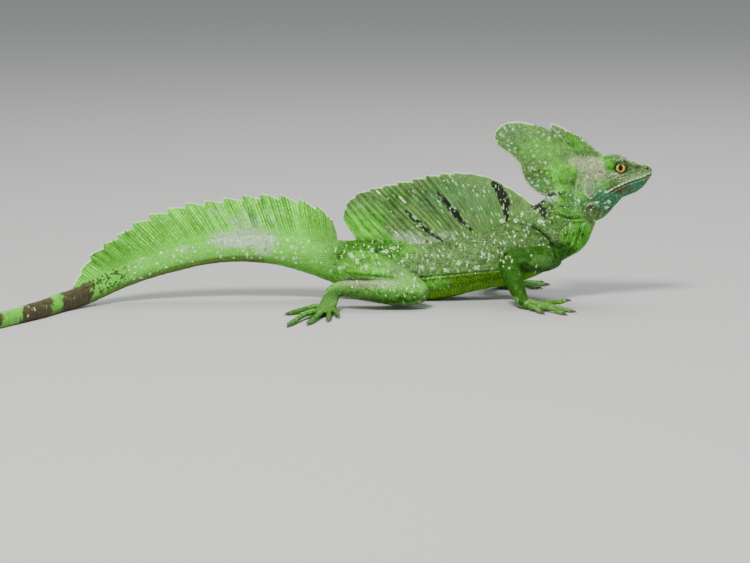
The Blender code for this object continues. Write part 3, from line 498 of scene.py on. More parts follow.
# Folds and creases of the skin, as lines of pixels in the photograph
folds = {
    # pixel points, width, depth, height of the lip beside it, share that stays on limbs, on the crest
    "shoulder": ([(520, 225), (529, 227), (539, 232), (548, 241), (553, 250), (556, 262)], 1.25, 1.7, 0.9,
                 0.7, False),
    "flank": ([(352, 286), (385, 283), (419, 278), (460, 274), (504, 270)], 0.9, 0.6, 0.35, 0.0, False),
    "collar": ([(554, 215), (562, 218), (571, 220), (582, 219)], 1.2, 1.2, 0.6, 0.0, False),
    "behindEar": ([(573, 166), (571, 178), (569, 192), (571, 206)], 1.7, -0.9, -0.3, 0.0, False),
    "jawAngle": ([(577, 214), (583, 207), (590, 205), (597, 210)], 1.5, -1.0, -0.4, 0.0, False),
    "pleatA": ([(566, 225), (565, 237), (560, 250)], 1.3, 0.45, 0.35, 0.0, False),
    "pleatB": ([(573, 224), (572, 237), (567, 249)], 1.3, 0.6, 0.45, 0.0, False),
    "pleatC": ([(580, 222), (579, 233), (574, 244)], 1.3, 0.5, 0.4, 0.0, False),
    "cheek": ([(600, 184), (611, 178), (622, 174)], 0.9, 0.4, 0.25, 0.0, False),
    "armpit": ([(506, 262), (513, 267), (523, 268)], 1.6, 0.6, 0.3, 0.6, False),
    "neckRing": ([(553, 203), (549, 212), (548, 222)], 1.5, 0.6, 0.35, 0.0, False),
    "lobe": ([(545, 125), (552, 130), (560, 138), (567, 149)], 1.1, 0.35, 0.35, 0.0, True),
    "crestLow": ([(520, 168), (532, 173), (545, 176)], 1.6, 0.25, 0.2, 0.0, True),
    "browScale": ([(618, 161), (622, 156.5), (629, 162.5)], 1.0, -0.55, -0.15, 0.0, False),
    "canthus": ([(629, 160.5), (636, 165), (646, 167)], 1.0, -0.45, -0.15, 0.0, False),
    "underEye": ([(606, 177), (615, 179), (628, 177)], 0.8, 0.35, 0.2, 0.0, False),
    "underEyeLow": ([(608, 181), (618, 182), (630, 178)], 0.7, 0.3, 0.2, 0.0, False),
    "temple": ([(563, 152), (560, 163), (563, 174)], 1.6, 0.4, 0.3, 0.0, False),
    "groin": ([(352, 258), (362, 262), (376, 266)], 1.5, 0.6, 0.4, 0.5, False),
    "kneeFold": ([(352, 275), (375, 277), (400, 279)], 1.3, 0.5, 0.2, 1.0, False),
    "elbowFold": ([(522, 264), (528, 268), (536, 270)], 1.3, 0.5, 0.2, 1.0, False),
}
# Fine folds that spread from the shoulder
fan = {"x": 515.0, "y": 264.0, "count": 42, "from": 20.0, "to": 95.0, "depth": 0.15, "fade": (14, 35)}


def foldShape(points, where):
    column, row = photoPlane(points)
    moved = np.zeros(len(points))
    shade = np.zeros(len(points))
    for line, width, depth, lipHeight, limbShare, onCrest in folds.values():
        gap, place = lineDistance(column, row, line)
        fade = np.sin(np.pi * np.clip(place, 0.04, 0.96)) ** 0.5
        free = 1 - where["limb"] * (1 - limbShare)
        onSide = free * (1 if onCrest else smoothStep(0.12, 0.4, where["wide"]))
        groove = hump(gap, 0, width)
        lip = hump(gap, 2.2 * width, 0.9 * width)
        moved += onSide * fade * (lipHeight * lip - depth * groove)
        if depth > 0:
            shade = np.maximum(shade, onSide * fade * groove ** 1.6 * min(depth * 1.1, 1.0))
    reach = np.hypot(column - fan["x"], row - fan["y"])
    turn = np.arctan2(row - fan["y"], column - fan["x"]) * fan["count"] + 3.0 * valueNoise(points, 9.0, 35)
    fadeIn, fadeOut = fan["fade"]
    arriving = smoothStep(fan["from"], fan["from"] + fadeIn, reach)
    there = arriving * smoothStep(fan["to"], fan["to"] - fadeOut, reach)
    there = there * (row < fan["y"]) * (1 - where["limb"]) * smoothStep(0.12, 0.4, where["wide"])
    there = there * (where["rise"] < 1)
    moved += fan["depth"] * there * np.sin(turn)
    shade = np.maximum(shade, 0.4 * there * np.clip(-np.sin(turn), 0, 1))
    return moved, shade


headRows = np.array(head["rows"])[::-1]
mouthColumn, lipColumn = 2, 6


def headLine(x, column):    # a column of the head's table at x
    return np.interp(x, headRows[:, 0], headRows[:, column])


def headShape(points):    # mouth, lips, lids, nostrils and eardrums, as a shift along the normal
    x, y, z = points.T
    onHead = smoothStep(139.0, 145.0, x) * (z > 48)
    side = smoothStep(0.55, 0.85, np.abs(y) / np.maximum(headLine(x, lipColumn), 0.5))
    side = np.maximum(side, smoothStep(187.0, 188.5, x))
    opened = smoothStep(head["mouthCorner"] - 1.5, head["mouthCorner"] + 1.5, x)
    gap = z - headLine(x, mouthColumn)
    line = hump(gap, 0, 0.29) * side * opened * onHead
    lips = (0.30 * hump(gap, 1.0, 0.55) + 0.26 * hump(gap, -1.0, 0.6)) * side * opened
    moved = -0.62 * line + lips * onHead
    nostril = np.hypot(x - head["nostril"][0], z - head["nostril"][1])
    moved += onHead * (0.22 * hump(nostril, 1.1, 0.4) - 0.90 * hump(nostril, 0, 0.68))
    earX, earZ, earLong, earTall = head["ear"]
    drum = np.hypot((x - earX) / earLong, (z - earZ) / earTall)
    onEar = (np.abs(y) > 6.0) * onHead
    moved += onEar * (0.35 * hump(drum, 1.10, 0.17) - 0.45 * smoothStep(1.05, 0.75, drum))
    eyeX, eyeZ = x - eye["centre"][0], z - eye["centre"][2]
    along, above = eyeX / eye["long"], (eyeZ + eye["slant"] * eyeX) / eye["tall"]
    around = (np.abs(along) ** eye["corners"] + np.abs(above) ** eye["corners"]) ** (1 / eye["corners"])
    onEye = (np.abs(y) > 4.5) * onHead
    lid = 0.75 * hump(around, eye["lidRadius"], 0.42) + 0.25 * hump(around, 4.7, 0.35)
    lid -= 0.25 * hump(around, 4.15, 0.28)
    moved += onEye * lid
    return moved, {
        "mouth": line,
        "nostril": onHead * hump(nostril, 0, 0.9),
        "drum": onEar * smoothStep(1.1, 0.95, drum),
        "drumRim": onEar * hump(drum, 1.12, 0.14),
        "orbit": onEye * smoothStep(4.10, 3.60, around),
        "hole": onEye * (around < eye["opening"]),
        "around": around,
        "upperLip": onHead * side * opened * hump(gap, 1.15, 0.75),
        "lowerLip": onHead * side * opened * hump(gap, -1.1, 0.8),
    }


# Markings, in pixels of the photograph: centre, half width, half height, strength. The leaf, moss and teal
# patches also hold coarse painted light (leaf) and painted shade (moss, teal), and the patches on the limbs
# are painted shade.
marks = {
    "beige": [
        (618, 178.5, 22, 4, 0.42), (640, 173, 10, 3, 0.35), (375, 284, 26, 5, 0.55),
        (352, 281, 12, 5, 0.45), (587, 166, 14, 8, 1.1), (596, 174, 8, 7, 1.1), (576, 162, 8, 5, 0.8),
        (584, 176, 6, 6, 0.45),
    ],
    "tealAndShade": [
        (606, 206, 13, 8, 0.85), (589, 190, 6, 8, 0.35), (634, 186, 15, 5, 1.0), (622, 193, 9, 5, 0.8),
        (606, 196, 12, 6, 0.9), (594, 200, 9, 6, 0.6), (578, 205, 8, 6, 0.5), (600, 205, 8, 5, 0.7),
        (571, 200, 5, 10, 0.4), (455, 200, 40, 16, 0.24), (505, 138, 20, 12, 0.18),
        (528, 186, 16, 7, 0.36), (600, 190, 6, 4, 0.5),
    ],
    "leafAndLight": [
        # the patch at column 360, row 272 is painted light that lifts the shade in the fold between thigh and
        # shank
        (437, 283, 13, 8, 0.85), (360, 272, 24, 5, 0.85), (556, 172, 11, 10, 0.7), (575, 142, 20, 9, 0.35),
        (603, 160, 6, 8, 0.6), (560, 200, 8, 18, 0.5), (570, 172, 6, 9, 0.5), (370, 250, 45, 14, 0.8),
        (600, 186, 8, 5, 0.4), (365, 218, 22, 14, 0.35), (395, 288, 26, 12, 0.35), (330, 262, 30, 20, 0.5),
        (361, 227, 22, 13, 0.85), (608, 165, 6, 8, 0.75), (575, 205, 9, 14, 0.5), (392, 246, 20, 7, 0.45),
        (576, 238, 15, 17, 0.8), (540, 150, 20, 12, 0.25),
    ],
    # painted shade under the shanks, in the groin and in the armpit
    "limbShade": [
        (362, 293, 32, 8, 0.42), (388, 297, 36, 6, 0.66), (364, 258, 32, 6, 0.46), (506, 260, 8, 7, 0.3),
    ],
    "bellyPale": [(437, 283, 13, 8, 0.65)],
    "armPale": [(538, 262, 14, 6, 0.5)],
    "mossAndShade": [
        (545, 262, 12, 10, 0.9), (368, 252, 38, 14, 0.74), (600, 152, 24, 8, 0.42),
        (573, 138, 16, 12, 0.45), (607, 163, 8, 8, 0.5), (570, 250, 10, 8, 0.55), (518, 236, 26, 18, 0.3),
        (565, 236, 4, 12, 0.5), (588, 217, 11, 7, 0.18), (604, 199, 14, 7, 0.45), (560, 252, 16, 11, 0.9),
        (322, 222, 18, 20, 0.3), (112, 256, 26, 14, 0.46), (520, 158, 22, 14, 0.16),
        (588, 152, 14, 5, 0.38), (641, 170, 9, 5, 0.26), (574, 224, 9, 12, 0.3), (566, 177, 9, 10, 0.3),
        (566, 205, 7, 12, 0.48), (555, 224, 8, 8, 0.42), (580, 237, 9, 10, 0.55), (398, 200, 12, 10, 0.38),
        (374, 224, 13, 9, 0.28), (446, 188, 15, 9, 0.32), (537, 177, 15, 8, 0.42), (492, 211, 7, 8, 0.32),
        (145, 243, 26, 15, 0.26), (175, 232, 20, 12, 0.2), (535, 262, 16, 10, 0.6),
        (505, 240, 20, 22, 0.3), (552, 205, 7, 14, 0.35), (358, 292, 30, 7, 0.35), (455, 240, 60, 8, 0.12),
        (612, 187, 7, 4, 0.6),
    ],
    "brown": [
        (616, 191, 12, 3.5, 0.9), (624, 188, 7, 3, 0.6), (586, 209, 9, 4, 0.6), (626, 165, 3, 2, 0.6),
        (636.5, 167.5, 4.2, 2.0, 1.1), (549, 199, 5, 3, 0.6), (594, 212, 8, 3, 0.6),
        (552, 140, 4, 5, 0.25), (366, 283, 16, 5, 0.25), (530, 176, 8, 4, 0.25),
    ],
    "shed": [
        (218, 213, 13, 8, 0.34), (243, 240, 34, 10, 0.8), (252, 226, 30, 15, 0.46),
        (268, 216, 18, 9, 0.34), (264, 244, 13, 12, 0.66), (189, 250, 6, 5, 0.5), (420, 239, 22, 6, 0.55),
        (401, 237, 9, 6, 0.5), (598, 184, 5, 3, 0.3), (645, 174, 8, 3, 0.25), (549, 197, 9, 7, 0.5),
        (448, 236, 12, 5, 0.45),
    ],
}
darkStreaksAndShadows = [
    # pixel points of the streak, half width, strength
    ([(494, 184), (499, 192), (504, 205), (507, 219)], 4.4, 1.0),
    ([(437, 193), (447, 205), (459, 219), (472, 231)], 2.7, 1.0),
    ([(405, 211), (415, 221), (428, 232), (442, 241)], 2.2, 0.95),
    ([(532, 199), (537, 206), (542, 214)], 5.2, 1.0),
    # painted shade in the rear and front corners of the eye
    ([(613.5, 169.5), (609.5, 171)], 0.7, 0.9),
    ([(624.5, 169.5), (629, 171.5)], 0.7, 0.9),
    # painted shadow cast over the eye by the brow scale
    ([(612.5, 165.5), (617, 162.6), (624, 163.4)], 0.8, 1.0),
    # painted shade in the nostril
    ([(645.2, 167.5), (646.6, 168.2)], 0.9, 1.0),
    ([(541, 215), (545, 220)], 1.8, 0.8),
    # painted shadow under the lower edge of the casque
    ([(536, 193.5), (545, 196), (556, 195), (563, 193)], 1.5, 0.9),
    ([(606, 184), (618, 178.5), (632, 173), (645, 169)], 0.8, 0.45),
    ([(610, 162), (620, 158.5)], 0.7, 0.5),
    ([(378, 219), (388, 228), (398, 236)], 1.3, 0.5),
    ([(362, 205), (376, 217)], 1.2, 0.4),
    ([(425, 200), (434, 208)], 1.5, 0.45),
    ([(372, 196), (392, 212), (404, 222)], 0.9, 0.4),
    ([(388, 190), (402, 203)], 0.9, 0.4),
    ([(555, 207), (568, 208)], 0.8, 0.7),
]
paleLines = [
    # the same for thin pale lines
    ([(618.5, 161), (622, 156), (629, 162.5)], 1.0, 1.1),
    ([(630, 160), (636, 164.5), (646, 166.5)], 0.9, 1.0),
    ([(545, 124.5), (552, 130), (560, 138), (567, 149)], 0.7, 0.6),
    ([(609, 176), (616, 174.6), (626, 174.8)], 0.9, 0.8),
    # painted highlight along the top of the crown
    ([(601, 155.5), (610, 154), (619, 155)], 1.0, 1.0),
    ([(584, 182), (582, 189), (584, 196), (589, 200), (594, 194)], 0.9, 0.8),
    ([(578, 173), (574.5, 187), (573.5, 200), (574.5, 213)], 0.8, 0.40),
    ([(581, 212), (586, 206), (592, 203.5), (597, 207)], 0.8, 0.5),
]
# Brown bands, in millimetres along the tail, and the belly's upper edge, in pixels
tailBands = [(159, 188), (203, 232), (251, 282), (301, 333), (353, 384), (402, 430), (446, 470)]
bellyLine = [(300, 280), (352, 288), (385, 284), (419, 279), (460, 275), (504, 271), (530, 268), (556, 262)]
spots = {
    "cell": 5.0,             # pixels from one spot to the next
    "places": [
        (455, 250, 75, 22, 0.62), (530, 232, 28, 20, 0.7), (350, 256, 45, 14, 0.62),
        (400, 250, 40, 9, 0.5), (520, 142, 30, 20, 0.55), (530, 172, 22, 18, 0.85),
        (580, 138, 30, 14, 0.28), (395, 280, 46, 22, 0.55), (520, 270, 22, 14, 0.4),
        (575, 205, 22, 14, 0.3), (606, 200, 12, 8, 0.3), (450, 236, 70, 9, 0.5), (450, 203, 75, 28, 0.3),
        (560, 226, 14, 12, 0.55), (548, 200, 10, 12, 0.9),
    ],
    "elbow": (505, 262, 7, 8, 0.9),        # the only spots on the arms
    # groups of several pale scales: pixel column and row, half width, half height
    "rows": [(352, 256, 3, 3), (385, 252, 3.5, 2), (402, 262, 3.5, 2), (421, 268, 3, 2.4), (432, 269, 2.6, 2),
             (446, 271, 4, 2.4), (458, 263, 3, 3), (475, 268, 4, 2.2), (372, 251, 3, 2.4), (342, 268, 4, 2.2),
             (357, 262, 2, 3), (366, 267, 2.4, 3), (393, 248.5, 3.5, 2), (488, 257, 1, 4), (481, 254, 1, 5),
             (503, 221.5, 5, 2), (516, 221, 4, 2), (549, 197, 5, 3), (607, 203, 2.2, 2), (604, 208, 2.6, 1.8),
             (595, 203.5, 4, 1.5), (577, 202, 1.2, 2.4), (540, 222, 4, 2.4), (528, 226, 3, 2)],
}


def blobs(column, row, table):
    total = np.zeros(len(column))
    for x, y, halfX, halfY, strength in table:
        reach = np.hypot((column - x) / halfX, (row - y) / halfY)
        total = np.maximum(total, strength * smoothStep(1.35, 0.65, reach))
    return total


def spotMask(points, where, column, row, onSail, steepness):
    front = where["limb"] * (points[:, 0] > 70)
    density = blobs(column, row, spots["places"]) * (where["distance"] < 12) * (1 - 0.92 * front)
    density = np.maximum(density, front * blobs(column, row, [spots["elbow"]]))
    crest = (points[:, 2] > 66) & (points[:, 0] < 142) & (points[:, 0] > 88)
    tailward = smoothStep(8, 20, where["distance"]) * smoothStep(142, 130, where["distance"])
    side = smoothStep(-0.7, -0.4, where["rise"]) * smoothStep(1.15, 0.95, where["rise"])
    density = np.maximum(density, 0.52 * tailward * side)
    flank = (points[:, 1] > 0).astype(np.int64)
    cellX, cellY = (np.floor(axis / spots["cell"]).astype(np.int64) for axis in (column, row))
    best = np.zeros(len(column))
    dashed = smoothStep(205, 225, row) * (where["distance"] < 12)    # dashes on the flank, dots elsewhere
    narrow, high = 0.92 - 0.24 * dashed - 0.20 * onSail, 1.0 + 0.75 * dashed + 0.6 * onSail
    along = onSail * (0.85 - 0.5 * smoothStep(430, 500, column))
    for stepX in (-1, 0, 1):
        for stepY in (-1, 0, 1):
            cells = asRows(cellX + stepX, cellY + stepY, flank)
            centreX = (cells[:, 0] + 0.1 + 0.8 * randomOf(cells, 3)) * spots["cell"]
            centreY = (cells[:, 1] + 0.1 + 0.8 * randomOf(cells, 4)) * spots["cell"]
            size = (0.62 + 0.66 * randomOf(cells, 5) ** 2) * (1 + 0.25 * crest + 0.30 * tailward)
            slant = (randomOf(cells, 6) - 0.35) * 0.9 * (1 - onSail) + along
            across = (column - centreX) - slant * (row - centreY)
            reach = np.hypot(across / (size * narrow), (row - centreY) / (size * high))
            there = randomOf(cells, 7) < density
            soft = steepness + 0.35 * crest
            best = np.maximum(best, there * smoothStep(1.0 + soft, 1.0 - soft, reach) * (1 - 0.35 * crest))
    ragged = 0.9 * (valueNoise(points, 1.2, 25) - 0.5)
    for x, y, halfX, halfY in spots["rows"]:
        near = np.hypot((column - x) / halfX, (row - y) / halfY) * 1.12 + ragged
        best = np.maximum(best, 0.95 * smoothStep(0.95, 0.80, near) * (1 - front))
    return best


# Besides the markings, these masks carry painted light and painted shade
def markingsAndShading(points, where=None, sail=None):    # the masks that skin and scales share
    where = where or whereOnBody(points)
    limb, paw, rise, beyond = (where[key] for key in ("limb", "paw", "rise", "distance"))
    column, row = photoPlane(points)
    wobble = valueNoise(points, 2.6, 11) - 0.5
    fine = valueNoise(points, 1.1, 12) - 0.5
    tail = smoothStep(-2.0, 20.0, -points[:, 0]) * (where["place"] > hips - 2)
    front = limb * (points[:, 0] > 70)
    onSail = 0.0 if sail is None else 1.0
    trunk = (1 - tail) * (1 - limb) * (1 - onSail)
    edge = np.interp(column, [p[0] for p in bellyLine], [p[1] for p in bellyLine])
    belly = smoothStep(-1.2, 1.2, row - edge + wobble * 1.5) * trunk * (column > 290) * (column < 560)
    belly = np.maximum(belly, trunk * smoothStep(-0.6, -0.85, rise) * (column > 290) * (column < 545))
    belly = belly * (1 - blobs(column, row, marks["bellyPale"]))
    leafAndLight = 0.10 + 0.14 * limb + blobs(column, row, marks["leafAndLight"]) + wobble * 0.40
    tailLeaf = 0.80 + 0.20 * onSail + 0.3 * wobble - 0.25 * smoothStep(0.2, -0.6, rise)
    leafAndLight = np.maximum(leafAndLight * (1 - 0.4 * belly), tail * tailLeaf)
    # Dark moss green, partly the animal's colour and partly painted shade: on the arms, under the shanks, in
    # the groin and armpit, and on the hind feet; also darker on the tail's underside and low on the hind
    # limbs
    mossAndShade = blobs(column, row, marks["mossAndShade"]) * (1 - limb) + front * (0.95 - 0.80 * paw) * (
        1 - blobs(column, row, marks["armPale"]))
    mossAndShade += blobs(column, row, marks["limbShade"]) * limb
    mottle = smoothStep(0.50, 0.85, valueNoise(points, 1.9, 28)) * (1 - tail) * (1 - paw)
    mossAndShade += (0.34 - 0.2 * onSail) * mottle * (1 - 0.5 * belly)
    mossAndShade = mossAndShade * (1 + 0.6 * wobble) + 0.50 * paw * (1 - front)
    mossAndShade += 0.18 * tail * smoothStep(-0.35, -0.8, rise)
    mossAndShade += 0.35 * limb * (1 - paw) * smoothStep(9.0, 5.0, points[:, 2]) * (1 - front)
    tealAndShade = blobs(column, row, marks["tealAndShade"]) * (1 + 1.2 * fine + 0.6 * wobble)
    beige = blobs(column, row, marks["beige"]) * (0.95 + 1.5 * fine + 0.7 * wobble)
    beige = beige * (1 - 0.55 * (valueNoise(points, 0.9, 36) > 0.66))
    brown = blobs(column, row, marks["brown"]) * (0.9 + 1.3 * fine)
    underTail = (1 - limb) * smoothStep(30, 50, beyond) * smoothStep(230, 200, beyond)
    for height, strength in ((-0.50, 0.7), (-0.84, 1.0)):
        brown = np.maximum(brown, underTail * strength * hump(rise, height, 0.11))
    belly = np.maximum(belly, underTail * 0.9 * hump(rise, -0.67, 0.09))
    shed = blobs(column, row, marks["shed"]) * (1 - limb) * (points[:, 1] < 6.0)
    torn = valueNoise(points, 4.5, 29) - 0.5
    kept = smoothStep(0.26, 0.50, shed + 0.50 * wobble + 0.35 * fine + 0.75 * torn)
    shed = shed * kept * (1 + 0.5 * torn + 0.5 * fine)
    brown = np.maximum(brown, 0.5 * shed * (valueNoise(points, 0.9, 26) > 0.74))
    shed = shed * (1 - 0.8 * (valueNoise(points, 0.9, 26) > 0.74))
    # The pale lines join the shed-skin mask; the crown's line among them is a painted highlight
    for line, width, strength in paleLines:
        gap, place = lineDistance(column, row, line)
        ends = np.sin(np.pi * np.clip(place, 0.06, 0.94)) ** 0.4
        shed = np.maximum(shed, strength * ends * smoothStep(1.3, 0.7, gap / width) * (1 + fine) *
                          (1 - onSail))
    dark = np.zeros(len(points))
    for line, width, strength in darkStreaksAndShadows:
        gap, place = lineDistance(column, row, line)
        swell = 0.45 + 0.75 * np.sin(np.pi * np.clip(place, 0.05, 0.95))
        thick = width * swell * (1 + 1.3 * wobble + 1.0 * fine)
        dark = np.maximum(dark, strength * smoothStep(1.15, 0.75, gap / np.maximum(thick, 0.3)))
    dark *= (1 - limb)
    flecks = (valueNoise(points, 1.0, 24) > 0.73) * dark * (beyond < 100)
    banded = np.zeros(len(points))
    for start, end in tailBands:
        ragged = beyond + wobble * 7.0 + fine * 4.0 + rise * 2.5
        band = smoothStep(start - 1.2, start + 1.2, ragged) * smoothStep(end + 1.2, end - 1.2, ragged)
        banded = np.maximum(banded, band * (1 - onSail))
    brown = np.maximum(brown, banded * 0.97)
    dark = np.maximum(dark, banded * (0.22 + 0.6 * (valueNoise(points, 1.6, 27) - 0.4)))
    speckle = (valueNoise(points, 1.0, 23) > 0.60) * smoothStep(126, 134, beyond) * (beyond < 154)
    dark = np.maximum(dark, 0.8 * speckle * (rise > -0.35) * (rise < 1.1) * (1 - limb))
    spot = spotMask(points, where, column, row, onSail, 0.12) * (1 - 0.6 * belly) * (dark < 0.6)
    spot = np.maximum(spot, (valueNoise(points, 1.7, 21) > 0.88) * 0.45 * limb * (paw < 0.5) * (1 - front))
    spot = np.maximum(spot, (valueNoise(points, 1.5, 22) > 0.86) * 0.9 * np.maximum(banded, dark) *
                      (beyond > 100))
    spot = np.maximum(spot, flecks * 0.8)
    return [np.clip(mask, 0, 1) for mask in (dark, spot, shed, belly, leafAndLight, tealAndShade, beige, brown, mossAndShade)]


def storeMasks(mesh, masks, extra):
    for name, values in (("marksA", masks[0:4]), ("marksB", masks[4:8]), ("marksC", [*extra, masks[8]])):
        layer = mesh.attributes.new(name, "FLOAT_COLOR", "POINT")
        layer.data.foreach_set("color", np.stack(values, axis=1).astype(np.float32).ravel())


# Shader node groups
def newGroup(name, inputs, outputs):
    group = bpy.data.node_groups.new(name, "ShaderNodeTree")
    for label, kind, value in inputs:
        socket = group.interface.new_socket(name=label, in_out="INPUT", socket_type=kind)
        socket.default_value = value
    for label, kind in outputs:
        group.interface.new_socket(name=label, in_out="OUTPUT", socket_type=kind)
    return group, group.nodes.new("NodeGroupInput"), group.nodes.new("NodeGroupOutput")


def mixNode(tree, factor, first, second, blend="MIX"):
    node = tree.nodes.new("ShaderNodeMix")
    node.data_type = "RGBA"
    node.blend_type = blend
    for socket, value in ((node.inputs[0], factor), (node.inputs[6], first), (node.inputs[7], second)):
        if isinstance(value, bpy.types.NodeSocket):
            tree.links.new(value, socket)
        else:
            socket.default_value = value
    return node.outputs[2]


def mathNode(tree, operation, first, second=0.0, clamp=False):
    node = tree.nodes.new("ShaderNodeMath")
    node.operation = operation
    node.use_clamp = clamp
    for socket, value in ((node.inputs[0], first), (node.inputs[1], second)):
        if isinstance(value, bpy.types.NodeSocket):
            tree.links.new(value, socket)
        else:
            socket.default_value = value
    return node.outputs[0]


def noiseNode(tree, scale, detail):
    coords = tree.nodes.new("ShaderNodeTexCoord")
    noise = tree.nodes.new("ShaderNodeTexNoise")
    noise.inputs["Scale"].default_value = scale
    noise.inputs["Detail"].default_value = detail
    tree.links.new(coords.outputs["Object"], noise.inputs["Vector"])
    return noise


# Besides the animal's colours, Leaf also paints light, Moss, Teal and Dark also paint shade, and Shed also
# paints a highlight on the crown
palette = {
    "Flank": (0.148, 0.268, 0.084), "Leaf": (0.190, 0.780, 0.055), "Belly": (0.112, 0.290, 0.009),
    "Teal": (0.052, 0.220, 0.110), "Beige": (0.400, 0.450, 0.260), "Brown": (0.110, 0.080, 0.042),
    "Shed": (0.480, 0.620, 0.430), "Dark": (0.022, 0.025, 0.018), "Spot": (0.620, 0.930, 0.480),
    "Moss": (0.024, 0.112, 0.002),
}


def makeSkinColours():    # markings to colour
    labels = [(name, "NodeSocketColor", (*colour, 1.0)) for name, colour in palette.items()]
    inputs = labels + [("Marks A", "NodeSocketColor", (0, 0, 0, 1)), ("Belly Mask", "NodeSocketFloat", 0.0),
                       ("Marks B", "NodeSocketColor", (0, 0, 0, 1)), ("Brown Mask", "NodeSocketFloat", 0.0),
                       ("Crease Shade", "NodeSocketFloat", 0.0), ("Moss And Shade Mask", "NodeSocketFloat", 0.0),
                       ("Variation", "NodeSocketFloat", 0.35)]
    outputs = [("Colour", "NodeSocketColor"), ("Pale", "NodeSocketFloat")]
    tree, given, out = newGroup("skinColours", inputs, outputs)
    first, second = tree.nodes.new("ShaderNodeSeparateColor"), tree.nodes.new("ShaderNodeSeparateColor")
    tree.links.new(given.outputs["Marks A"], first.inputs[0])
    tree.links.new(given.outputs["Marks B"], second.inputs[0])
    colour = given.outputs["Flank"]
    for mask, name in ((second.outputs[0], "Leaf"), (given.outputs["Belly Mask"], "Belly"),
                       (given.outputs["Moss And Shade Mask"], "Moss"), (second.outputs[1], "Teal"),
                       (second.outputs[2], "Beige"), (given.outputs["Brown Mask"], "Brown"),
                       (first.outputs[2], "Shed"), (first.outputs[0], "Dark"), (first.outputs[1], "Spot")):
        colour = mixNode(tree, mask, colour, given.outputs[name])
    broad, small = noiseNode(tree, 90.0, 3.0), noiseNode(tree, 700.0, 2.0)
    lumps = mathNode(tree, "ADD", broad.outputs[0], small.outputs[0])
    centred = mathNode(tree, "SUBTRACT", lumps, 1.0)
    scaled = mathNode(tree, "MULTIPLY", centred, given.outputs["Variation"])
    lift = mathNode(tree, "ADD", scaled, 1.0)
    shaded = tree.nodes.new("ShaderNodeVectorMath")
    shaded.operation = "SCALE"
    tree.links.new(colour, shaded.inputs[0])
    tree.links.new(lift, shaded.inputs["Scale"])
    # painted shade: the crease mask mixes in this near-black green where shade falls in folds and grooves
    final = mixNode(tree, given.outputs["Crease Shade"], shaded.outputs[0], (0.018, 0.026, 0.010, 1.0))
    tree.links.new(final, out.inputs["Colour"])
    tree.links.new(mathNode(tree, "ADD", first.outputs[1], first.outputs[2], True), out.inputs["Pale"])
    return tree


def makeScaleGrain():    # fine cells and pits between the scales
    tree, given, out = newGroup(
        "scaleGrain", [("Cells per Metre", "NodeSocketFloat", 900.0), ("Pits", "NodeSocketFloat", 0.3)],
        [("Height", "NodeSocketFloat"), ("Edge", "NodeSocketFloat")])
    coords = tree.nodes.new("ShaderNodeTexCoord")
    cells = tree.nodes.new("ShaderNodeTexVoronoi")
    cells.feature = "DISTANCE_TO_EDGE"
    tree.links.new(coords.outputs["Object"], cells.inputs["Vector"])
    tree.links.new(given.outputs["Cells per Metre"], cells.inputs["Scale"])
    edge = mathNode(tree, "MULTIPLY", cells.outputs["Distance"], 3.0, True)
    pits = noiseNode(tree, 2600.0, 2.0)
    rough = mathNode(tree, "MULTIPLY", pits.outputs[0], given.outputs["Pits"])
    tree.links.new(mathNode(tree, "ADD", edge, rough), out.inputs["Height"])
    tree.links.new(mathNode(tree, "SUBTRACT", 1.0, edge, True), out.inputs["Edge"])
    return tree


skinColours, scaleGrain = makeSkinColours(), makeScaleGrain()


def hideMaterial(name, look):    # a material of the animal's hide, with its own values
    made = bpy.data.materials.new(name)
    made.use_nodes = True
    tree = made.node_tree
    shader = tree.nodes["Principled BSDF"]
    colours = tree.nodes.new("ShaderNodeGroup")
    colours.node_tree = skinColours
    colours.inputs["Variation"].default_value = look["variation"]
    for attribute, socket, mask in (("marksA", "Marks A", "Belly Mask"), ("marksB", "Marks B", "Brown Mask")):
        reader = tree.nodes.new("ShaderNodeAttribute")
        reader.attribute_name = attribute
        tree.links.new(reader.outputs["Color"], colours.inputs[socket])
        tree.links.new(reader.outputs["Alpha"], colours.inputs[mask])
    extra = tree.nodes.new("ShaderNodeAttribute")
    extra.attribute_name = "marksC"
    split = tree.nodes.new("ShaderNodeSeparateColor")
    tree.links.new(extra.outputs["Color"], split.inputs[0])
    tree.links.new(split.outputs[0], colours.inputs["Crease Shade"])
    tree.links.new(extra.outputs["Alpha"], colours.inputs["Moss And Shade Mask"])
    tinted = mixNode(tree, split.outputs[1], colours.outputs["Colour"], (*look["rim"], 1.0))
    # the tone multiplies in each part's random tone and its painted shade and highlight: the scales' edges
    # and tops, the gaps between scales, the sails' pleats
    toned = mixNode(tree, 1.0, tinted, split.outputs[2], "MULTIPLY")
    tree.links.new(toned, shader.inputs["Base Color"])
    grain = tree.nodes.new("ShaderNodeGroup")
    grain.node_tree = scaleGrain
    grain.inputs["Cells per Metre"].default_value = look["cells"]
    grain.inputs["Pits"].default_value = look["pits"]
    bump = tree.nodes.new("ShaderNodeBump")
    bump.inputs["Strength"].default_value = look["bump"]
    bump.inputs["Distance"].default_value = 0.0002
    tree.links.new(grain.outputs["Height"], bump.inputs["Height"])
    tree.links.new(bump.outputs["Normal"], shader.inputs["Normal"])
    dull = mathNode(tree, "MULTIPLY", grain.outputs["Edge"], 0.25)
    tree.links.new(mathNode(tree, "ADD", dull, look["roughness"]), shader.inputs["Roughness"])
    shader.inputs["Specular IOR Level"].default_value = look["specular"]
    return made


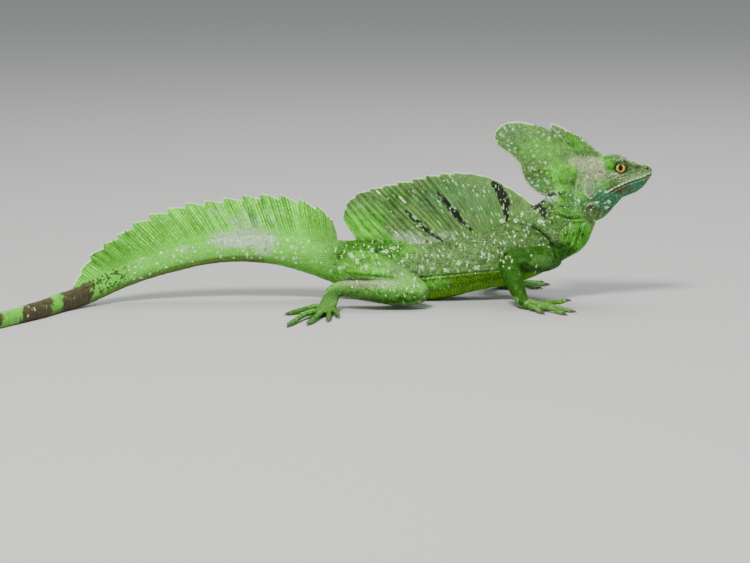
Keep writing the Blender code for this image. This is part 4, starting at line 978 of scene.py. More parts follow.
looks = {
    "skin": {"variation": 0.38, "cells": 1100.0, "pits": 0.3, "bump": 0.5, "roughness": 0.52,
             "specular": 0.15,
             "rim": (0.56, 0.68, 0.42)},
    "scales": {"variation": 0.42, "cells": 2600.0, "pits": 0.5, "bump": 0.25, "roughness": 0.46,
               "specular": 0.17,
               "rim": (0.56, 0.68, 0.42)},
    "sail": {"variation": 0.40, "cells": 1300.0, "pits": 0.3, "bump": 0.35, "roughness": 0.5,
             "specular": 0.12,
             "rim": (0.66, 0.80, 0.56)},
}
hides = {name: hideMaterial(name, look) for name, look in looks.items()}


def plainMaterial(name, values):    # one look all over, from the values of the shader's own sockets
    made = bpy.data.materials.new(name)
    made.use_nodes = True
    for label, value in values.items():
        made.node_tree.nodes["Principled BSDF"].inputs[label].default_value = value
    return made


def dress(piece, material, nodes=()):
    piece.data.materials.clear()
    piece.data.materials.append(material)
    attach(piece, "root")
    if nodes:
        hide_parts(*nodes)


# Sails of the back and tail
def evenShares(rims, count):    # shares of the table that are evenly spaced along the rim
    along = lengthAlong(rims)
    return np.interp(np.linspace(0, along[-1], count), along, np.linspace(0, 1, len(rims)))


def sailColumns(teeth, tooth, lanes, perTooth=18):    # ray ridge, bite of the rim and place in teeth
    index = np.arange(teeth * perTooth + 1)
    phase = (index % perTooth) / perTooth
    lane = (phase * lanes + 0.5) % 1.0
    ridge = 0.55 + 0.45 * np.cos(2 * math.pi * (lane - 0.5))
    ridge = ridge * (1 + 0.5 * hump(np.minimum(phase, 1 - phase), 0, 0.08))
    bite = np.where(phase < 0.84, 0.5 - 1.20 * phase, 0.5 - 1.008 * (1 - phase) / 0.16)
    fade = np.minimum(np.minimum(index, teeth * perTooth - index) / (perTooth * 1.5), 1.0)
    uneven = 0.72 + 0.56 * randomOf(asRows(index // perTooth, index // perTooth), 48)
    return ridge, tooth * bite * fade * uneven, index / perTooth


def backSailLines(share):    # roots, rims and outward directions of the back's sail
    rows = smoothRows(sails["back"], share * (len(sails["back"]) - 1))
    roots = asRows(rows[:, 0], np.zeros(len(rows)), rows[:, 1] - 1.0)
    rims = asRows(rows[:, 2], np.zeros(len(rows)), rows[:, 3])
    return roots, rims, np.tile((0.0, 1.0, 0.0), (len(rows), 1))


def tailSailLines(share):
    rows = smoothRows(sails["tail"], (1 - share) * (len(sails["tail"]) - 1))
    distance, height, lean = rows[:, 0], rows[:, 1], np.radians(rows[:, 2])
    places = hips + np.interp(distance, tailDistances, np.arange(len(tailDistances)))
    places = np.where(distance < 0, hips + distance / 16.0, places)
    centre, side, up, tall, _ = sections(places)
    ahead = sections(places - 0.02)[0] - sections(places + 0.02)[0]
    ahead = unit(ahead - up * np.sum(ahead * up, axis=1, keepdims=True))
    top = centre + up * tall[:, None]
    direction = up * np.cos(lean)[:, None] - ahead * np.sin(lean)[:, None]
    reach = np.maximum(height / np.cos(lean), 1.0)
    return top - direction * 1.6, top + direction * reach[:, None], side


def pleatTurn(place, height, lanes):    # turns of the pleats, which wander a little
    drift = valueNoise(asRows(place * 0.9, height / 16.0), 1.0, 49) - 0.5
    return (place * lanes - 0.5) / 2 + 0.7 * drift


# both faces of a sail and its columns
def sailForm(lines, teeth, tooth, lanes, pleated=0.0, even=99.0, rows=36):
    ridge, bite, place = sailColumns(teeth, tooth, lanes)
    bite = bite * (1 - 0.72 * smoothStep(even - 1.5, even + 1.5, place))
    shares = evenShares(lines(np.linspace(0, 1, 900))[1], len(place))
    roots, rims, outs = lines(shares)
    rims = rims + unit(rims - roots) * bite[:, None]
    reach = np.linalg.norm(rims - roots, axis=1)[:, None]
    share = np.linspace(0, 1, rows)[None, :]
    half = sails["rootHalf"] + (sails["rimHalf"] - sails["rootHalf"]) * share ** 0.6
    slim = np.minimum(reach / 12.0, 1.0)
    half = half * np.minimum(0.35 + reach / 9.0, 1.0)
    half = half + sails["ray"] * ridge[:, None] * slim * (1 - 0.72 * share)
    half = half * (1 - 0.40 * smoothStep(0.965, 1.0, share))
    grid = np.broadcast_to(place[:, None], (len(place), rows))
    turn = pleatTurn(grid.ravel(), (share * reach).ravel(), lanes).reshape(grid.shape)
    folded = sails["pleat"] * smoothStep(pleated + 1.5, pleated - 1.5, place)
    shove = folded[:, None] * np.cos(2 * math.pi * turn) * smoothStep(0.10, 0.45, share) * slim
    middle = roots[:, None] + (rims - roots)[:, None] * share[..., None] + outs[:, None] * shove[..., None]
    offset = outs[:, None] * half[..., None]
    return {"left": middle - offset, "right": middle + offset, "height": share * reach, "pleated": pleated,
            "under": (1 - share) * reach, "place": place, "teeth": teeth, "lanes": lanes,
            "lines": 0.22 if pleated else 0.85, "bright": 0.91 if pleated else 1.0}


def ridgeForm(lines, columns=90, rows=9):    # the flesh that rises into the root of a sail
    roots, rims, outs = lines(np.linspace(0.0, 1.0, columns))
    reach = np.linalg.norm(rims - roots, axis=1)[:, None]
    share = np.linspace(0, 1, rows)[None, :]
    top = np.minimum(sails["ridgeHeight"], reach * 0.55)
    half = sails["ridgeTop"] + (sails["ridgeRoot"] - sails["ridgeTop"]) * (1 - share) ** 2.0
    half = half * np.minimum(0.4 + reach / 14.0, 1.0)
    middle = roots[:, None] + unit(rims - roots)[:, None] * (share * top)[..., None]
    offset = outs[:, None] * half[..., None]
    return vane(middle - offset, middle + offset)


def sailTone(form, place, height, onRight, seed):    # light and dark streaks that run along the rays
    drift = 0.6 * (valueNoise(asRows(place * 1.5, height / 8.0), 1.0, seed + 5) - 0.5)
    lane = place * form["lanes"] + drift
    cell = np.floor(lane)
    streak = 0.72 + 0.46 * randomOf(asRows(cell, cell * 3 + 1).astype(np.int64), seed)
    along = valueNoise(asRows(lane * 0.8, height / 6.0), 1.0, seed + 1)
    fine = valueNoise(asRows(lane * 2.0, height / 1.5), 1.0, seed + 2)
    nearLine = np.round(lane)
    drawn = 0.25 + 0.75 * (randomOf(asRows(nearLine, nearLine).astype(np.int64), seed + 7) > 0.45)
    groove = drawn * hump(lane, nearLine, 0.2) * smoothStep(0.2, 0.6, along)
    tone = streak * (0.80 + 0.38 * along) * (0.76 + 0.48 * fine) * (1 - form["lines"] * groove)
    # Pleats: painted shade in the fold of each pleat and a painted highlight along the crest between the
    # folds, on both faces
    turn = pleatTurn(place, height, form["lanes"]) + 0.5 * onRight
    folded = smoothStep(form["pleated"] + 1.5, form["pleated"] - 1.5, place)
    single = randomOf(asRows(np.floor(turn), onRight).astype(np.int64), seed + 3)
    depth = folded * (0.35 + 0.9 * single)
    turn = turn % 1.0
    tone = tone * (1 - 0.56 * np.minimum(depth, 1.0) * hump(turn, 0.5, 0.12))
    tone = tone * (1 + 0.22 * folded * hump(np.minimum(turn, 1 - turn), 0, 0.24))
    broad = valueNoise(asRows(lane * 0.7, height / 5.0), 1.0, seed + 4)
    blotch = 0.58 + 0.42 * broad + 0.46 * fine
    tone = tone + (blotch - tone) * (0.65 * (1 - folded) * (form["pleated"] > 0))
    return 1 + (tone - 1) * smoothStep(1.0, 12.0, height)


# The flesh, gathered as closed forms that the skin then covers in one sheet
def digitPath(row, radius, steps=20):
    x, y, length, heading, bend, lift = row
    angle, turn = math.radians(heading), math.radians(bend) / steps
    place = np.array((x, y, 0.0))
    path = []
    for index in range(steps + 1):
        t = index / steps
        thick = radius * (1.12 - 0.34 * t + 0.10 * math.sin(3 * math.pi * t)) - 0.1
        height = thick * 0.9 + 1.5 * math.sin(math.pi * min(t * 1.25, 1.0)) + lift * t ** 1.6
        path.append((place[0], place[1], height, thick, thick))
        if index < steps:
            place = place + np.array((math.cos(angle), math.sin(angle), 0.0)) * (length / steps)
            angle += turn
    return np.array(path), np.array((math.cos(angle), math.sin(angle), 0.0))


def fleshForms():
    forms = [bodyRings(evenPlaces(0.0, len(spineRows) - 1.0, 1.5), 56)]
    forms.append(headRings(smoothPath(head["rows"], 8), 72))
    centre, radii = head["jawMuscle"]
    for flank in (-1, 1):
        forms.append(ellipsoid(np.array(centre) * (1, flank, 1), radii))
        brow = np.array(head["brow"]) * (1, flank, 1, 1, 1)
        forms.append(sweepRings(smoothPath(brow, 6), 14))
        ball = np.array(eye["centre"]) * (1, flank, 1)
        forms.append(ellipsoid(ball - (0, 0.9 * flank, 0), (4.4, 3.3, 4.0)))
    for side in limbs.values():
        for name in ("upperArm", "forearm", "thigh", "shank"):
            path = smoothPath(side[name], 8)
            path[:, 3] -= spine["inset"]
            forms.append(sweepRings(np.concatenate([path, path[:, 3:4]], axis=1), 32))
        for name, digits, radius in (("palm", "fingers", digit["fingerRadius"]),
                                     ("sole", "toes", digit["toeRadius"])):
            path = smoothPath(side[name], 8)
            path[:, 3:] -= spine["inset"] * 0.5
            forms.append(sweepRings(path, 28, (0.0, 0.0, 1.0)))
            for row in side[digits]:
                forms.append(sweepRings(digitPath(row, radius)[0], 14))
    return [loft(form) for form in forms]


def crestForm(table, columns=8, rows=26):
    path = smoothPath(table, columns)
    share = np.linspace(0, 1, rows)[None, :, None]
    root = asRows(path[:, 0], np.zeros(len(path)), path[:, 1])[:, None]
    rim = asRows(path[:, 2], np.zeros(len(path)), path[:, 3])[:, None]
    middle = root + (rim - root) * share
    half = crests["rootHalf"] + (crests["rimHalf"] - crests["rootHalf"]) * share ** 0.55
    offset = np.concatenate([np.zeros_like(half), half, np.zeros_like(half)], axis=2)
    return vane(middle - offset, middle + offset)


def gather(parts):    # several closed forms as the points and faces of one mesh
    verts, quads, tris, count = [], [], [], 0
    for part in parts:
        verts.append(part[0])
        quads.append(part[1] + count)
        if len(part) > 2:
            tris.append(part[2] + count)
        count += len(part[0])
    return np.concatenate(verts), [np.concatenate(quads), np.concatenate(tris)]


def relax(mesh, rounds, weights=None):    # evens the skin and keeps its volume
    points = animalPoints(mesh)
    pairs = np.empty(len(mesh.edges) * 2, dtype=np.int64)
    mesh.edges.foreach_get("vertices", pairs)
    first, second = pairs.reshape(-1, 2).T
    degree = np.bincount(pairs, minlength=len(points)).astype(float)
    for index in range(rounds * 2):
        total = np.stack([np.bincount(first, points[second, k], len(points)) +
                          np.bincount(second, points[first, k], len(points)) for k in range(3)], axis=1)
        step = 0.55 if index % 2 == 0 else -0.50
        move = (total / degree[:, None] - points) * step
        points = points + (move if weights is None else move * weights[:, None])
    setPoints(mesh, points)


def rimGap(points):    # distance to the thin edges of the crests
    gap = np.full(len(points), 1e9)
    close = (points[:, 0] > 84) & (points[:, 2] > 60) & (np.abs(points[:, 1]) < 1.8)
    for table in (crests["casque"][3:], crests["browLobe"][2:]):
        line = smoothPath([row[2:] for row in table], 3)
        gap[close] = np.minimum(gap[close], lineDistance(points[close, 0], points[close, 2], line)[0])
    return gap


skinMesh = {
    "voxel": 0.52,
    "evenRounds": 7,
    "fineFrom": (137, 50),   # x and z from which the head has a finer mesh
    "fineRounds": 2,
    "lowest": 0.03,
}


def makeSkin():
    parts = fleshForms() + [crestForm(crests["casque"]), crestForm(crests["browLobe"])]
    parts += [ridgeForm(backSailLines), ridgeForm(tailSailLines)]
    skin = buildObject("basiliskSkin", *gather(parts))
    change = skin.modifiers.new("gather", "REMESH")
    change.mode = "VOXEL"
    change.voxel_size = skinMesh["voxel"] * mm
    bpy.context.view_layer.update()
    graph = bpy.context.evaluated_depsgraph_get()
    mesh = bpy.data.meshes.new_from_object(skin.evaluated_get(graph))
    skin.modifiers.clear()
    skin.data = mesh
    relax(mesh, skinMesh["evenRounds"])
    work = bmesh.new()
    work.from_mesh(mesh)
    fineX, fineZ = shift[0] + skinMesh["fineFrom"][0] * mm, shift[2] + skinMesh["fineFrom"][1] * mm
    edges = [edge for edge in work.edges
             if all(vert.co.x > fineX and vert.co.z > fineZ for vert in edge.verts)]
    bmesh.ops.subdivide_edges(work, edges=edges, cuts=1, use_grid_fill=True)
    work.to_mesh(mesh)
    work.free()
    relax(mesh, skinMesh["fineRounds"])
    points = animalPoints(mesh)
    where = whereOnBody(points)
    moved, creaseShade = foldShape(points, where)
    shaped, masks = headShape(points)
    wrinkle = (valueNoise(points, 3.2, 31) - 0.5) * 0.35 + (valueNoise(points, 1.3, 32) - 0.5) * 0.12
    wrinkle *= (1 - where["paw"]) * smoothStep(0.4, 2.0, points[:, 2])
    points = points + meshNormals(mesh) * (moved + shaped + wrinkle)[:, None]
    hole = masks["hole"] > 0
    flank = np.sign(points[:, 1])
    centre = np.array(eye["centre"])
    gap = points[:, [0, 2]] - centre[[0, 2]]
    depth = np.sqrt(np.maximum(eye["radius"] ** 2 - np.sum(gap ** 2, axis=1), 0.0)) - 0.4
    points[hole, 1] = (flank * (centre[1] + depth))[hole]
    points[:, 2] = np.maximum(points[:, 2], skinMesh["lowest"])
    setPoints(mesh, points)
    finish = markingsAndShading(points, where)
    # painted shade in the folds and creases, along the mouth line, in the nostrils and in the eye sockets
    grooves = [creaseShade * 0.7, masks["mouth"], masks["nostril"], masks["orbit"] * 0.9]
    creaseShade = np.clip(np.maximum.reduce(grooves), 0, 1)
    edge = rimGap(points) + 0.35 * (valueNoise(points, 1.6, 34) - 0.5)
    pale = masks["upperLip"] * 0.18 + masks["drum"] * 0.24 + masks["drumRim"] * 0.45
    pale = pale + smoothStep(1.15, 0.70, edge)
    bare = smoothStep(1.3, 0.9, edge)
    # The skin's tone is low where it shows between the scales, a painted shade in the gaps; it is higher on
    # the tail, limbs and crest tops, and near full at the bare crest rims
    regions = [smoothStep(5, 20, where["distance"]), 0.7 * where["limb"], smoothStep(66, 72, points[:, 2])]
    plain = np.maximum.reduce(regions)
    tone = 0.54 + 0.16 * plain + (0.40 - 0.16 * plain) * bare + 0.25 * (valueNoise(points, 1.0, 33) - 0.5)
    storeMasks(mesh, finish, [creaseShade, np.clip(pale, 0, 1), tone])
    mesh.polygons.foreach_set("use_smooth", np.full(len(mesh.polygons), True))
    apart = ("eye_left", "eye_right", "back_sail", "tail_sail")
    flesh = [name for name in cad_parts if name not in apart]
    dress(skin, hides["skin"], flesh)
    print("skin:", len(mesh.polygons), "faces")
    return skin, where


skin, skinWhere = makeSkin()


# Membranes
def makeSail(name, form, node, seed):
    verts, quads = vane(form["left"], form["right"])
    piece = buildObject(name, verts, [quads])
    height, under = (np.concatenate([form[key].ravel()] * 2) for key in ("height", "under"))
    place = np.concatenate([np.repeat(form["place"], form["left"].shape[1])] * 2)
    finish = markingsAndShading(verts, sail=np.ones(len(verts)))
    ragged = under + 0.5 * (valueNoise(verts, 1.3, 41) - 0.5)
    rim = smoothStep(sails["rimWidth"] * 1.25, sails["rimWidth"] * 0.75, ragged)
    onRight = np.repeat((0.0, 1.0), len(verts) // 2)
    tone = form["bright"] * 0.86 * sailTone(form, place, height, onRight, seed)
    storeMasks(piece.data, finish, [np.zeros(len(verts)), rim, tone + (1.05 - tone) * rim])
    dress(piece, hides["sail"], [node])
    print(name + ":", len(quads), "faces")


backForm = sailForm(backSailLines, sails["backTeeth"], sails["backTooth"], sails["backLanes"],
                    sails["pleatedTeeth"],
                    sails["evenTeeth"])
tailForm = sailForm(tailSailLines, sails["tailTeeth"], sails["tailTooth"], sails["tailLanes"])
makeSail("backSail", backForm, "back_sail", 44)
makeSail("tailSail", tailForm, "tail_sail", 47)


# Scales: closed plates laid over the skin in rows, each with the colour of its root
plateShapes = {
    # outline along and across the scale, the share of the outline that its top keeps, keel place
    "keeled": {"outline": [(-0.50, 0.0), (-0.22, 0.50), (0.24, 0.46), (0.60, 0.0), (0.24, -0.46),
                           (-0.22, -0.50)],
               "top": 0.0, "keel": 0.14},
    "round": {"outline": [(-0.52, 0.0), (-0.27, 0.46), (0.27, 0.46), (0.52, 0.0), (0.27, -0.46),
                          (-0.27, -0.46)],
              "top": 0.52, "keel": 0.02},
    "square": {"outline": [(-0.49, -0.36), (-0.49, 0.36), (-0.30, 0.49), (0.40, 0.49), (0.52, 0.34),
                           (0.52, -0.34),
                           (0.40, -0.49), (-0.30, -0.49)], "top": 0.62, "keel": 0.05},
}
skinTree = BVHTree.FromObject(skin, bpy.context.evaluated_depsgraph_get())


def ontoSkin(points, reach):    # closest points of the skin, its normals, and whether they are near enough
    found = np.zeros((len(points), 3))
    normals = np.tile((0.0, 0.0, 1.0), (len(points), 1))
    near = np.zeros(len(points), bool)
    for index, point in enumerate(points * mm + shift):
        place, normal, _, gap = skinTree.find_nearest(Vector(point), reach * mm)
        if place is not None:
            found[index] = (np.array(place) - shift) / mm
            normals[index] = normal
            near[index] = True
    return found, normals, near


def makePlates(name, shape, roots, normals, ahead, sizes, chart, masks, look, tones, pale, paintedShading):
    template = plateShapes[shape]
    outline = np.array(template["outline"])
    sides = len(outline)
    domed = template["top"] > 0
    ahead = unit(ahead - normals * np.sum(ahead * normals, axis=1, keepdims=True))
    across = np.cross(normals, ahead)
    long, wide, tall = sizes.T
    jitter = (randomOf((roots * 40).astype(np.int64), 51) - 0.5) * 0.16
    turned = unit(ahead + across * jitter[:, None])
    across = unit(np.cross(normals, turned))

    def ringAt(flat, rise):
        return (roots[:, None] + turned[:, None] * (flat[:, 0, None] * long[:, None, None]) +
                across[:, None] * (flat[:, 1, None] * wide[:, None, None]) +
                normals[:, None] * (rise[:, None] * tall[:, None, None]))

    # the hind edge stands over the next scale
    parts = [ringAt(outline, np.interp(outline[:, 0], (-0.5, 0.6), (-0.5, 0.30)))]
    lower = roots - normals * (0.6 * tall)[:, None]
    if domed:
        parts.append(ringAt(outline * template["top"], 0.72 + 0.2 * outline[:, 0]))
    apex = roots + turned * (template["keel"] * long)[:, None] + normals * tall[:, None]
    parts += [apex[:, None], lower[:, None]]
    verts = np.concatenate(parts, axis=1)
    each = verts.shape[1]
    pairs = [(index, (index + 1) % sides) for index in range(sides)]
    top, bottom = each - 2, each - 1
    if domed:
        tris = [(a, b, b + sides) for a, b in pairs] + [(a, b + sides, a + sides) for a, b in pairs]
        tris += [(a + sides, b + sides, top) for a, b in pairs]
    else:
        tris = [(a, b, top) for a, b in pairs]
    tris += [(b, a, bottom) for a, b in pairs]
    tris = np.array(tris)[:, ::-1]
    count = len(roots)
    faces = (tris[None] + (np.arange(count) * each)[:, None, None]).reshape(-1, 3)
    piece = buildObject(name, verts.reshape(-1, 3), [faces])
    mesh = piece.data
    ends = np.empty(len(mesh.edges) * 2, dtype=np.int64)
    mesh.edges.foreach_get("vertices", ends)
    sharp = np.all(ends.reshape(-1, 2) % each < sides, axis=1)
    layer = mesh.attributes.new("sharp_edge", "BOOLEAN", "EDGE")
    layer.data.foreach_set("value", sharp)
    spread = np.concatenate([outline] + ([outline * 0.5] if domed else []) + [np.zeros((2, 2))]) * 0.003
    uv = chart[:, None] * 0.99 + 0.005 + spread[None]
    loops = np.empty(len(mesh.loops), dtype=np.int64)
    mesh.loops.foreach_get("vertex_index", loops)
    placed = uv.reshape(-1, 2)[loops].astype(np.float32)
    mesh.uv_layers.new(name="OFBake").data.foreach_set("uv", placed.ravel())
    pale = np.zeros(count) if pale is None else pale
    # painted shade along each scale's edges and a painted highlight on its apex
    edges, crown = 1 - paintedShading, 1 + 0.6 * paintedShading    # dark edges and a bright keel
    shade = np.concatenate([np.full(sides, edges)] + ([np.full(sides, 1.04)] if domed else []) +
                           [[crown, 0.3]])
    tone = (tones[:, None] * shade[None]).ravel()
    repeated = [np.repeat(mask, each) for mask in masks]
    storeMasks(mesh, repeated, [np.zeros(count * each), np.repeat(pale, each), tone])
    dress(piece, hides[look])
    print(name + ":", count, "plates,", len(faces), "faces")


def backShade(where):    # the back is darker towards the root of its sail
    return 1 - 0.24 * smoothStep(0.55, 1.0, where["rise"]) * (where["place"] < hips + 1) * (1 - where["limb"])


def scaleTones(roots, seed, contrast=0.28):
    single = 1 + contrast * (2 * randomOf((roots * 50).astype(np.int64), seed) - 1)
    return single * (1 + contrast * (valueNoise(roots, 2.4, seed + 1) - 0.5))


fewest = 6    # scales in the smallest ring


def bodySites(start, end, pitch, width):    # places and angles in rings round the body
    places, angles = [], []
    for index, place in enumerate(evenPlaces(start, end, pitch)):
        tall, wide = (part[0] for part in sections([place])[3:5])
        girth = math.pi * (1.5 * (tall + wide) - math.sqrt(tall * wide))
        count = max(int(round(girth / width)), fewest)
        turn = 0.5 * (index % 2)
        angles.append(2 * math.pi * (np.arange(count) + turn) / count)
        places.append(np.full(count, place))
    return np.concatenate(places), np.concatenate(angles)


def bodyPoints(places, angles):
    centre, side, up, tall, wide = sections(places)
    across, rise = crossSection(angles)
    points = centre + side * (across * wide)[:, None] + up * (rise * tall)[:, None]
    points[:, 2] = np.maximum(points[:, 2], 0.1)
    ahead = sections(places + 0.02)[0] - sections(places - 0.02)[0]
    return points, ahead


def layBody(name, start, end, pitch, width, height, shape, keepRow, contrast):
    places, angles = bodySites(start, end, pitch, width)
    points, ahead = bodyPoints(places, angles)
    roots, normals, near = ontoSkin(points, 1.0)
    where = whereOnBody(roots)
    keep = near & keepRow(where, roots, normals)
    keep &= (roots[:, 2] > 0.25)
    roots, normals, ahead, places, angles = picked(keep, roots, normals, ahead, places, angles)
    where = {key: value[keep] for key, value in where.items()}
    chart = asRows((places - start) / (end - start), (angles / (2 * math.pi)) % 1.0)
    shrink = np.interp(places, (hips + 8, hips + 14), (1.0, 0.55))    # towards the tail's tip
    sizes = asRows(pitch * 1.12 * np.ones(len(roots)), width * 1.04 * shrink, height * shrink)
    makePlates(name, shape, roots, normals, ahead, sizes, chart, markingsAndShading(roots, where), "scales",
               scaleTones(roots, 61, contrast) * backShade(where), None, 0.25 + 0.75 * contrast)


headEdge = 139.5         # x at which the head's own scales begin


def awayFromHead(points):    # neither on the head nor on its crests
    return ~((points[:, 0] > headEdge) & (points[:, 2] > 52.0)) & ~(
        (points[:, 0] > 86.0) & (points[:, 2] > 66.5 + 0.12 * (points[:, 0] - 117)))


facesDown = -0.55    # a normal's height below which the skin is belly


def bellyOf(where, roots, normals):
    return (normals[:, 2] < facesDown) & (where["limb"] < 0.5) & awayFromHead(roots)


def flankOf(where, roots, normals):
    return ~(normals[:, 2] < facesDown) & (where["limb"] < 0.5) & awayFromHead(roots)


def anySide(where, roots, normals):
    return where["limb"] < 0.6


bodyScales = {
    # first and last place on the spine, pitch, width, height, shape, where they lie, contrast of the tones
    # and of the painted shade and highlight
    "flankScales": (0.2, hips - 0.05, 1.02, 1.0, 0.20, "keeled", flankOf, 0.52),
    "bellyScales": (0.6, hips - 0.05, 1.5, 1.45, 0.18, "square", bellyOf, 0.22),
    "tailScales": (hips, hips + 10.0, 1.4, 1.15, 0.18, "keeled", anySide, 0.14),
    "whipScales": (hips + 10.0, len(spineRows) - 1.02, 1.9, 1.15, 0.18, "keeled", anySide, 0.16),
}
for name, row in bodyScales.items():
    layBody(name, *row)


limbScale = {"pitch": 1.12, "size": (1.26, 1.16, 0.20), "reach": 0.8, "paintedShading": 0.42}
toeScale = {"pitch": 1.35, "long": 1.55, "wide": 0.86, "high": 0.20, "reach": 0.7, "paintedShading": 0.35,
            "angles": ([15, 64, 116, 165], [-8, 38, 90, 142, 188])}
upward = np.array((0.0, 0.0, 1.0))


def limbAngles(radius, index):    # all round the limb, each ring half a scale on from the last
    count = max(int(round(2 * math.pi * radius / limbScale["pitch"])), fewest)
    return 2 * math.pi * (np.arange(count) + 0.5 * (index % 2)) / count


def toeAngles(radius, index):    # over the top of the digit
    return np.radians(toeScale["angles"][index % 2])


def layStrips(name, strips, upright, anglesOf, sizeOf, reach, seed, paintedShading):    # rings of scales along paths
    points, aheads, sizes, charts = [], [], [], []
    for tile, path in enumerate(strips):
        forward = unit(np.gradient(path[:, :3], axis=0))
        for index, (row, ahead) in enumerate(zip(path, forward)):
            across = unit(np.cross(ahead, upward))
            up = upward if upright else np.cross(across, ahead)
            angle = anglesOf(row[3], index)
            points.append(row[:3] + row[3] * (np.outer(np.cos(angle), across) + np.outer(np.sin(angle), up)))
            aheads.append(np.tile(ahead, (len(angle), 1)))
            sizes.append(np.tile(sizeOf(row[3]), (len(angle), 1)))
            place = np.full(len(angle), (tile + index / len(path)) / len(strips))
            charts.append(asRows(place, angle / (2 * math.pi) % 1.0))
    points, aheads, sizes, charts = (np.concatenate(part) for part in (points, aheads, sizes, charts))
    roots, normals, near = ontoSkin(points, reach)
    keep = near & (roots[:, 2] > 0.3)
    roots, normals, aheads, sizes, charts = picked(keep, roots, normals, aheads, sizes, charts)
    makePlates(name, "keeled", roots, normals, aheads, sizes, charts, markingsAndShading(roots), "scales",
               scaleTones(roots, seed), None, paintedShading)


limbPaths = [evenPath(side[name], limbScale["pitch"]) for side in limbs.values()
             for name in ("upperArm", "forearm", "thigh", "shank")]
layStrips("limbScales", limbPaths, False, limbAngles, lambda radius: limbScale["size"], limbScale["reach"],
          62,
          limbScale["paintedShading"])
toePaths = [evenPath(digitPath(row, radius)[0], toeScale["pitch"], 2)[2:] for side in limbs.values()
            for digits, radius in (("fingers", digit["fingerRadius"]), ("toes", digit["toeRadius"]))
            for row in side[digits]]
layStrips("toeScales", toePaths, True, toeAngles,
          lambda radius: (toeScale["long"], radius * toeScale["wide"], toeScale["high"]),
          toeScale["reach"], 63,
          toeScale["paintedShading"])


# scales without rows, each as far from the next as its own size
def layLoose(name, choose, sizeOf, aheadOf, chartOf, seed, height, contrast, paleOf=None):
    points = animalPoints(skin.data)
    normals = meshNormals(skin.data)
    chosen = np.flatnonzero(choose(points, normals))    # the skin's own points, in its order
    points, normals = picked(chosen, points, normals)
    radii = sizeOf(points)
    tree = KDTree(len(points))
    for index, point in enumerate(points):
        tree.insert(point, index)
    tree.balance()
    taken = np.zeros(len(points), bool)
    kept = []    # each scale that is kept takes the place of its neighbours
    for index in np.random.default_rng(seed).permutation(len(points)):
        if not taken[index]:
            kept.append(index)
            for _, other, _ in tree.find_range(points[index], radii[index] * 0.86):
                taken[other] = True
    roots, normals, radii = picked(kept, points, normals, radii)
    sizes = asRows(radii * 1.12, radii * 1.06, np.minimum(height * radii, 0.34))
    pale = None if paleOf is None else paleOf(roots)
    makePlates(name, "round", roots, normals, aheadOf(roots), sizes, chartOf(roots), markingsAndShading(roots),
               "scales",
               scaleTones(roots, seed, contrast), pale, 0.22 + 0.6 * contrast)


def onHead(points):
    return (points[:, 0] > headEdge) & (points[:, 2] > 50.0)


def headPlaces(points, normals):
    _, masks = headShape(points)
    free = (masks["mouth"] < 0.15) & (masks["nostril"] < 0.3) & (masks["drum"] < 0.5)
    free &= (masks["upperLip"] < 0.45) & (masks["lowerLip"] < 0.45)
    around = masks["around"]
    nearEye = (np.abs(points[:, 1]) > 4.5) & (around < eye["lidRadius"] + 0.30)
    return onHead(points) & free & ~nearEye


def headSizes(points):
    x, y, z = points.T
    size = 0.92 + 0.40 * smoothStep(80, 86, z) * smoothStep(158, 170, x) + 0.15 * smoothStep(176, 184, x)
    _, masks = headShape(points)
    size = np.where((np.abs(y) > 4.5) & (masks["around"] < 4.9), 0.72, size)
    size = np.where((z < 66) & (x < 168), 0.98, size)
    return size * (1 + 0.25 * (valueNoise(points, 2.5, 71) - 0.5))


def headAhead(points):
    return np.tile((-1.0, 0.0, 0.12), (len(points), 1))


def headChart(points):
    turn = np.arctan2(points[:, 2] - 72.0, points[:, 1]) / (2 * math.pi) % 1.0
    return asRows(np.clip((points[:, 0] - 136.0) / 56.0, 0, 1), turn)


def headPale(points):
    _, masks = headShape(points)
    ring = hump(masks["around"], 3.5, 0.45) * (np.abs(points[:, 1]) > 4.5)
    above = np.exp(-(((points[:, 0] - 170) / 7) ** 2 + ((points[:, 2] - 87.4) / 1.2) ** 2))
    return np.clip(ring * 0.30 + above * 0.14 + masks["drumRim"] * 0.3, 0, 1)


def onCrest(points, normals):
    return ~awayFromHead(points) & ~onHead(points) & (rimGap(points) > 1.1)


def onRidge(points, normals):    # the flesh at the roots of the sails
    where = skinWhere
    return (where["over"] > 0.75) & (where["over"] < 3.4) & (where["limb"] < 0.3) & awayFromHead(points) & (
        np.abs(normals[:, 1]) > 0.3)


def crestChart(points):
    return asRows(np.clip((points[:, 0] - 84.0) / 62.0, 0, 1),
                  np.clip((points[:, 2] - 58.0) / 54.0, 0, 1) * 0.49 + 0.5 * (points[:, 1] > 0))


def crestAhead(points):
    rising = 0.55 * smoothStep(60, 100, points[:, 2])
    return asRows(-np.ones(len(points)), np.zeros(len(points)), rising)


def pawPlaces(points, normals):
    low = np.flatnonzero((points[:, 2] < 14) & (skinWhere["limb"] > 0.5) & (points[:, 2] > 0.35))
    flat = np.zeros(len(points), bool)
    for side in limbs.values():
        for name in ("palm", "sole"):
            path = smoothPath(side[name], 6)
            found, gap = nearest(points[low], path[:, :3])
            flat[low[gap < path[found, 3] * 1.15]] = True
    return flat


def pawAhead(points):
    return asRows(np.ones(len(points)), np.sign(points[:, 1]) * 0.5, np.zeros(len(points)))


def pawChart(points):
    return asRows(np.clip((points[:, 0] + 30) / 160, 0, 1), np.clip((points[:, 1] + 70) / 140, 0, 1))


def evenSize(size):
    return lambda points: np.full(len(points), size)


